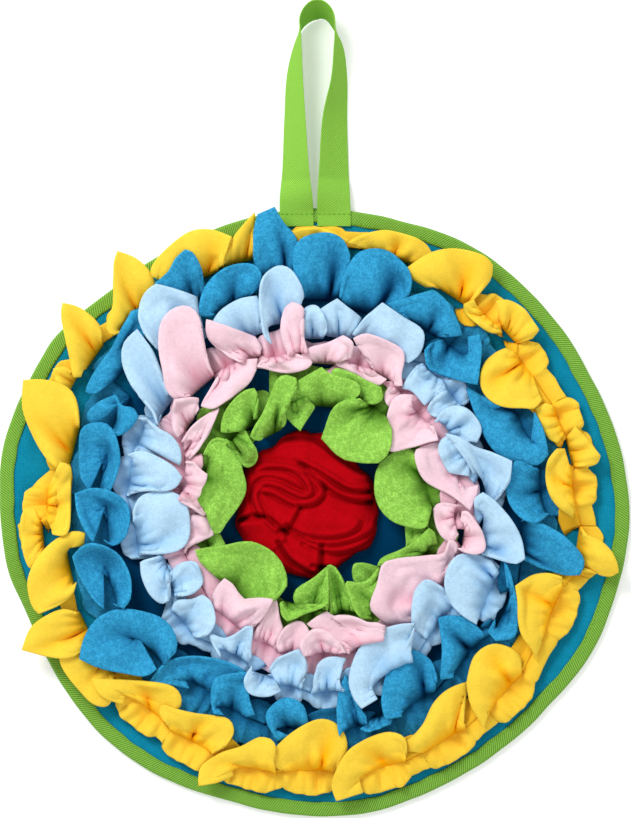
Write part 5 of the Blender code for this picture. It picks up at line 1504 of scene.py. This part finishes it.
def shell(points, faces, share, half):
    """Give a middle surface its wall: points shared on its border, two layers elsewhere.

    Each point moves by the half wall times its share along the surface's normal, up for the
    upper layer and down for the lower one, whose faces are turned round.
    """
    a, b, c, d = (points[faces[:, k]] for k in range(4))
    normal = np.cross(c - a, d - b)
    total = np.zeros_like(points)
    for k in range(4):
        np.add.at(total, faces[:, k], normal)
    total /= np.maximum(np.linalg.norm(total, axis=1, keepdims=True), 1e-9)
    offset = total * (half * share)[:, None]
    double = share > 0
    lower = np.arange(len(points))
    lower[double] = len(points) + np.arange(double.sum())
    return (np.vstack([points + offset, (points - offset)[double]]),
            np.vstack([faces, lower[faces][:, ::-1]]))


def lay_ground(heights, frills):
    """Enter the rosette, the binding, the loop's ends and the frills in the height map."""
    thickness = heights.thickness
    heights.add(dense(rosette_surface(120, 40), 700, 240) - (0.0, 0.0, thickness / 2))
    clock = np.arange(0, 360, 0.2)
    edge = rim_radius(clock)
    top = np.full(len(clock), BINDING_TOP - thickness / 2 + 0.4)
    for inset in np.arange(0, BINDING_COVER, 0.8):
        heights.add(np.column_stack([place(clock, edge - inset), top]))
    for foot in (LOOP[0], LOOP[-1]):
        x, y = np.meshgrid(np.arange(-11.5, 12, 0.75) + foot.x, np.arange(208, 240, 0.75))
        heights.add(np.stack([x, y, np.full(x.shape, LOOP_REST_HEIGHT)], axis=-1))
    for grid in frills:
        closed = np.concatenate([grid, grid[:1]])
        heights.add(dense(closed, 3 * len(closed), 3 * len(FRILL_ROWS)))


def make_rings():
    """The petal rings: one fleece strip each, its frill flat and its petals laid in order."""
    thickness = bpy.context.scene.snuffle_sizes.fleece / MM
    petals = [petal for ring in RINGS for petal in ring.petals]
    widths = np.concatenate([root_widths(ring.petals) for ring in RINGS])
    frills = [frill_grid(ring, outer) for ring, outer in
              zip(RINGS, [None] + [ring.petals for ring in RINGS])]
    grids = []
    for seed, (petal, width) in enumerate(zip(petals, widths)):
        plan = petal_plan(petal, width)
        height = petal_height(petal, seed) + seam_height(plan[:, :1])
        grids.append(with_height(plan, height))
    heights = HeightMap(thickness)
    lay_ground(heights, frills)
    flaps = [tongues(ring, frill) for ring, frill in zip(RINGS, frills)]
    for made in flaps:
        for first in made:
            made[first] = lay(made[first], heights, TONGUE_COLUMNS, TONGUE_ROWS)
            heights.add(dense(made[first], 24, 32))
    for index in laying_order(grids, petals):
        grids[index] = lay(grids[index], heights, COLUMNS, ROWS)
        heights.add(dense(grids[index], 3 * len(COLUMNS), 3 * len(ROWS)))
    left = iter(grids)
    for ring, frill, made in zip(RINGS, frills, flaps):
        make_ring(ring, frill, [next(left) for _ in ring.petals], made, thickness / 2)


def make_ring(ring, frill, grids, flaps, half):
    """One ring's strip: its parts share the points of the seam, then get their wall."""
    columns, rows = frill.shape[:2]
    wall = frill_wall(frill, half)
    parts = [(number * FRILL_STEP, grid, COLUMNS, ROWS, petal_painted_shade(petal))
             for number, (grid, petal) in enumerate(zip(grids, ring.petals))]
    for first, grid in flaps.items():
        # the tongues get an even painted shade
        parts.append((first, grid, TONGUE_COLUMNS, TONGUE_ROWS,
                      np.full(grid.shape[:2], TONGUE_SHADE)))
        wall[first + 1:first + len(TONGUE_COLUMNS) - 1, -1] = 1.0
    points, share, faces = [frill.reshape(-1, 3)], [wall], [grid_faces(columns, rows, True)]
    # painted shade on the frill, light at its edge and darkest at the seam under the petals
    painted_shade = [np.broadcast_to(ring.shade * (0.2 + 0.8 * FRILL_ROWS ** 2), (columns, rows))]
    start = columns * rows
    # depth is each part's painted shade
    for first, grid, across, along, depth in parts:
        seam = (first + np.arange(len(across))) * rows + rows - 1
        own = start + np.arange(depth[:, 1:].size).reshape(len(across), -1)
        index = np.column_stack([seam, own])
        faces.append(index.ravel()[grid_faces(*index.shape)])
        points.append(grid[:, 1:].reshape(-1, 3))
        share.append(wall_share(grid, across, along, half)[:, 1:])
        painted_shade.append(depth[:, 1:])
        start += own.size
    share, painted_shade = (np.concatenate([part.ravel() for part in x]) for x in (share, painted_shade))
    points, faces = shell(np.vstack(points), np.vstack(faces)[:, ::-1], share, half)
    piece = make_piece(ring.piece, points, faces, get_material("brushed_" + ring.cloth),
                       painted_shade=np.concatenate([painted_shade, painted_shade[share > 0]]))
    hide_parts(ring.node)
    return piece


# ---------------------------------------------------------------- rosette

class Fold(NamedTuple):
    """A layer's edge in the rosette, seen as a line from one end to the other.

    step, spread: rise of the layer on the left of the line and how far it dies away. ridge:
    rise of the rounded, doubled edge itself. trench: depth of the gap on its right.
    """
    step: float
    spread: float
    ridge: float
    trench: float
    line: tuple


ROSETTE_MIDDLE = (-3.0, 4.0)
ROSETTE_REACH = (56, 50, 48, 50, 51, 47, 52, 50, 55, 53, 55, 54)   # every 30 degrees clockwise
ROSETTE_CROWN = 17.0      # height over the cloth at its middle
ROSETTE_EDGE = 4.0        # and at its edge
ROSETTE_FOOT = CLOTH_THICKNESS + STRIP_SEAT
ROSETTE_LIGHT = 14.5      # height over which none of it gets painted shade
ROSETTE_SHADE_SPAN = 9.0
RIDGE_WIDTH = 2.3         # half of a doubled edge
TRENCH_WIDTH = 1.9
FOLDS = (
    Fold(3.5, 12, 0.6, 3.0, ((43, 25), (31, 28), (14, 39), (2, 48.5), (-7, 51), (-21, 50),
                             (-32, 45))),
    Fold(2.0, 6, 2.0, 3.6, ((-12, 40.5), (4, 33), (15, 26), (28, 19.5), (46, 20))),
    Fold(2.5, 7, 2.0, 4.5, ((-6, 34), (6, 24.5), (18, 16), (32, 11.8), (46, 12.5))),
    Fold(1.5, 9, 2.6, 3.0, ((-46, 30), (-35, 35), (-20, 34.4), (-10, 29), (-4.1, 21.7),
                            (-3, 15.6), (-8, 13.2), (-15, 15.6), (-25, 20.4), (-34.6, 22.3),
                            (-40.6, 19), (-43, 12), (-40.6, 4.6), (-36, -2.7), (-28.5, -10))),
    Fold(1.0, 5, 2.4, 4.0, ((-40, 14), (-37, 17.2), (-29.7, 16), (-21, 11.5), (-12.7, 8.2),
                            (-1.7, 9.3), (4.6, 14.4), (4.6, 19.2), (-0.3, 24.6), (-8, 31),
                            (-18.7, 37))),
    Fold(3.5, 11, 0.5, 3.5, ((-28.5, -10), (-21, -7.5), (-16, -1), (-12, 7))),
    Fold(2.5, 12, 0.5, 3.0, ((-19, -4), (-15, -8.5), (-6.6, -12.6), (7, -15), (21, -13.6),
                             (29, -9.5), (33, -3))),
    Fold(2.5, 6, 0.5, 2.8, ((-16, -11), (-0.5, -18.5), (14, -20), (31, -16), (42, -9.5),
                            (47, 1))),
    Fold(2.5, 6, 0.5, 3.0, ((-8, -18), (-2, -21.5), (12, -26), (26, -24.6), (40, -17),
                            (47, -8))),
    Fold(3.0, 8, 0.3, 3.0, ((-2, -34), (3, -35.5), (17, -37), (29, -33), (40, -23.5),
                            (47, -14))),
    Fold(2.5, 8, 0.6, 4.5, ((1, -46), (2.2, -32), (1.5, -21))),
    Fold(3.0, 9, 0.6, 4.0, ((-24, -17), (-20.5, -24), (-15, -32), (-3, -39.5), (2, -41))),
    Fold(3.5, 12, 0.4, 6.0, ((-20, -19), (-28.5, -11.5), (-41, -4.5), (-56, -9))),
    Fold(3.0, 12, 0.4, 5.0, ((-58, -2), (-46, -1), (-36, 2))),
)


def line_offsets(points, line):
    """Distance in plan from each point to a line, its side, and how far along it is nearest."""
    line = np.asarray(line, dtype=float)
    start, step = line[:-1], line[1:] - line[:-1]
    offset = points[..., None, :] - start
    share = np.clip((offset * step).sum(-1) / (step ** 2).sum(-1), 0.0, 1.0)
    gap = offset - share[..., None] * step
    distance = np.linalg.norm(gap, axis=-1)
    nearest = distance.argmin(axis=-1)[..., None]
    cross = step[:, 0] * gap[..., 1] - step[:, 1] * gap[..., 0]
    side = np.sign(np.take_along_axis(cross, nearest, -1))[..., 0]
    along = (nearest + np.take_along_axis(share, nearest, -1))[..., 0] / len(step)
    return np.take_along_axis(distance, nearest, -1)[..., 0], side, along


def fold_relief(points, fold):
    """Rise and fall round one layer's edge.

    Inside it a step that is rounded over the edge and dies away, outside a trench, and along
    the edge a round ridge. All of it eases out towards the line's ends.
    """
    distance, side, along = line_offsets(points, catmull_rom(fold.line, 7 * len(fold.line)))
    signed = distance * side
    ends = smooth_step(np.minimum(along, 1 - along) / 0.1)
    over = np.clip((signed + RIDGE_WIDTH) / RIDGE_WIDTH, 0, 1)
    step = fold.step * np.sqrt(1 - (1 - over) ** 2) * np.exp(-signed.clip(0) / fold.spread)
    ridge = fold.ridge * np.sqrt(np.clip(1 - (signed / RIDGE_WIDTH) ** 2, 0, 1))
    trench = fold.trench * np.exp(-((signed + RIDGE_WIDTH + 1.2) / TRENCH_WIDTH) ** 2)
    behind = 0.4 * fold.ridge * np.exp(-((signed - RIDGE_WIDTH - 1.2) / TRENCH_WIDTH) ** 2)
    return ends * (step + ridge - trench - behind)


def rosette_surface(sides, rings):
    """Top of the rosette, sides x rings x 3, from its edge to near its middle.

    A point is a clock angle and a share of the reach. Its height is a flat crown, plus the
    relief of every layer's edge and slow swells.
    """
    share = np.linspace(1.0, 0.02, rings)[None, :]
    reach = catmull_rom([(r, r) for r in ROSETTE_REACH], sides, closed=True)[:, 0]
    clock = np.arange(sides) * 360.0 / sides
    reach = (reach + 1.6 * waves(clock / 47, 33, 3))[:, None]
    plan = np.asarray(ROSETTE_MIDDLE) + place(
        np.broadcast_to(clock[:, None], (sides, rings)), share * reach)
    rise = ROSETTE_EDGE + (ROSETTE_CROWN - ROSETTE_EDGE) * (1 - share ** 3) ** 0.8
    inside = smooth_step((1 - share) / 0.08)
    relief = sum(fold_relief(plan, fold) for fold in FOLDS)
    swell = 1.1 * waves(plan[..., 0] / 33, 31, 2) + 1.1 * waves(plan[..., 1] / 29, 32, 2)
    height = ROSETTE_FOOT + rise + (relief + swell) * inside
    floor = ROSETTE_FOOT + 2.0
    height = np.maximum(height, floor + 0.15 * (height - floor))
    return with_height(plan, height)


def make_rosette():
    """Rosette: the layered top closed by a foot on the ground cloth."""
    sides, rings = 300, 125
    top = rosette_surface(sides, rings)
    foot = top[:, :1].copy()
    foot[..., 2] = ROSETTE_FOOT
    grid = np.concatenate([foot, top], axis=1)
    centre = [[*ROSETTE_MIDDLE, ROSETTE_FOOT], [*ROSETTE_MIDDLE, top[:, -1, 2].mean()]]
    # painted shade: the lower a point lies, the darker its colour
    low = np.clip((ROSETTE_LIGHT - grid[..., 2]) / ROSETTE_SHADE_SPAN, 0.0, 1.0).ravel()
    outer = np.arange(sides) * (rings + 1)
    count = sides * (rings + 1)
    piece = make_piece("red_rosette", np.vstack([grid.reshape(-1, 3), centre]),
                       grid_faces(sides, rings + 1, wrap_rows=True),
                       get_material("brushed_red"), painted_shade=np.append(low, [1.0, 0.0]),
                       triangles=np.vstack([fan(outer, count), fan(outer + rings, count + 1)]))
    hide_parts("rosette_red")
    return piece


# ---------------------------------------------------------------- stage

FRAME_HEIGHT, FRAME_MIDDLE = 818, (315.5, 409)
MAT_AT = (314, 513)       # middle of the mat in the frame
FRAME_SCALE = 0.73        # millimetres at the mat for each step of the frame
VIEW_HEIGHT = FRAME_HEIGHT * FRAME_SCALE * MM
VIEW_MIDDLE = ((FRAME_MIDDLE[0] - MAT_AT[0]) * FRAME_SCALE * MM,
               (MAT_AT[1] - FRAME_MIDDLE[1]) * FRAME_SCALE * MM)
CAMERA_DISTANCE = 3.2
SENSOR = 24.0
FLOOR_REACH = 6.0
FLOOR_LEVEL = -0.0004
PALE = (0.86, 0.86, 0.86)


def add_light(name, place_at, aim, size, power):
    """A square area light that points at a place."""
    data = bpy.data.lights.new(name, "AREA")
    data.size = size
    data.energy = power
    light = bpy.data.objects.new(name, data)
    light.location = place_at
    light.rotation_euler = (Vector(aim) - Vector(place_at)).to_track_quat("-Z", "Y").to_euler()
    bpy.context.scene.collection.objects.link(light)


def make_floor():
    """Pale floor just under the mat."""
    mesh = bpy.data.meshes.new("floor")
    corners = [(x * FLOOR_REACH, y * FLOOR_REACH, FLOOR_LEVEL)
               for x, y in ((-1, -1), (1, -1), (1, 1), (-1, 1))]
    mesh.from_pydata(corners, [], [(0, 1, 2, 3)])
    floor = bpy.data.objects.new("floor", mesh)
    bpy.context.scene.collection.objects.link(floor)
    material, _, shader = base_material("floor", PALE, 0.9)
    shader.inputs["Emission Color"].default_value = (1.0, 1.0, 1.0, 1.0)
    shader.inputs["Emission Strength"].default_value = 0.25
    mesh.materials.append(material)


def make_stage():
    """Floor, soft studio light and the camera straight above."""
    scene = bpy.context.scene
    make_floor()
    scene.world = bpy.data.worlds.new("studio")
    scene.world.use_nodes = True
    background = scene.world.node_tree.nodes["Background"]
    background.inputs["Color"].default_value = (1, 1, 1, 1)
    background.inputs["Strength"].default_value = 0.68
    add_light("key", (-0.9, 1.2, 1.5), (0, 0.05, 0), size=0.8, power=29.0)
    add_light("fill", (1.3, -0.8, 1.9), (0, 0, 0), size=1.4, power=7.0)
    data = bpy.data.cameras.new("camera")
    data.sensor_fit = "VERTICAL"
    data.sensor_height = SENSOR
    data.lens = SENSOR * CAMERA_DISTANCE / VIEW_HEIGHT
    data.clip_end = 50.0
    camera = bpy.data.objects.new("camera", data)
    camera.location = (*VIEW_MIDDLE, CAMERA_DISTANCE)
    scene.collection.objects.link(camera)
    scene.camera = camera
    scene.view_settings.view_transform = "Standard"


# ---------------------------------------------------------------- operators and panel

class SNUFFLE_OT_stage(bpy.types.Operator):
    """Make the floor, the lights and the camera"""
    bl_idname = "snuffle.stage"
    bl_label = "Stage"

    def execute(self, context):
        make_stage()
        return {"FINISHED"}


class SNUFFLE_OT_ground(bpy.types.Operator):
    """Make the ground cloth"""
    bl_idname = "snuffle.ground"
    bl_label = "Ground cloth"

    def execute(self, context):
        make_ground()
        return {"FINISHED"}


class SNUFFLE_OT_binding(bpy.types.Operator):
    """Make the folded binding tape and the stitches that hold it"""
    bl_idname = "snuffle.binding"
    bl_label = "Binding"

    def execute(self, context):
        make_binding(make_binding_stitches())
        return {"FINISHED"}


class SNUFFLE_OT_loop(bpy.types.Operator):
    """Make the hanging loop and the stitches across its feet"""
    bl_idname = "snuffle.loop"
    bl_label = "Hanging loop"

    def execute(self, context):
        make_loop(make_loop_stitches())
        return {"FINISHED"}


class SNUFFLE_OT_petals(bpy.types.Operator):
    """Make the five rings of fleece petals, which are laid over one another"""
    bl_idname = "snuffle.petals"
    bl_label = "Petal rings"

    def execute(self, context):
        make_rings()
        return {"FINISHED"}


class SNUFFLE_OT_rosette(bpy.types.Operator):
    """Make the rosette at the middle of the mat"""
    bl_idname = "snuffle.rosette"
    bl_label = "Rosette"

    def execute(self, context):
        make_rosette()
        return {"FINISHED"}


OPERATORS = (SNUFFLE_OT_stage, SNUFFLE_OT_ground, SNUFFLE_OT_binding, SNUFFLE_OT_loop,
             SNUFFLE_OT_rosette, SNUFFLE_OT_petals)


class SNUFFLE_PT_panel(bpy.types.Panel):
    """Sizes, colours and makers of the snuffle mat"""
    bl_idname = "SNUFFLE_PT_panel"
    bl_label = "Snuffle Mat"
    bl_space_type = "VIEW_3D"
    bl_region_type = "UI"
    bl_category = "Snuffle Mat"

    def draw(self, context):
        column = self.layout.column()
        for settings in (context.scene.snuffle_sizes, context.scene.snuffle_colours):
            for name in settings.__annotations__:
                column.prop(settings, name)
        for operator in OPERATORS:
            column.operator(operator.bl_idname)


CLASSES = (SNUFFLE_PG_sizes, SNUFFLE_PG_colours, *OPERATORS, SNUFFLE_PT_panel)


def register():
    """Register the classes and hang the settings on the scene."""
    for item in CLASSES:
        bpy.utils.register_class(item)
    bpy.types.Scene.snuffle_sizes = PointerProperty(type=SNUFFLE_PG_sizes)
    bpy.types.Scene.snuffle_colours = PointerProperty(type=SNUFFLE_PG_colours)


def unregister():
    """Take the settings and the classes away again."""
    del bpy.types.Scene.snuffle_colours
    del bpy.types.Scene.snuffle_sizes
    for item in reversed(CLASSES):
        bpy.utils.unregister_class(item)


def main():
    """Make the whole mat."""
    register()
    bpy.ops.snuffle.stage()
    bpy.ops.snuffle.ground()
    bpy.ops.snuffle.binding()
    bpy.ops.snuffle.loop()
    bpy.ops.snuffle.rosette()
    bpy.ops.snuffle.petals()


if __name__ == "__main__":
    main()
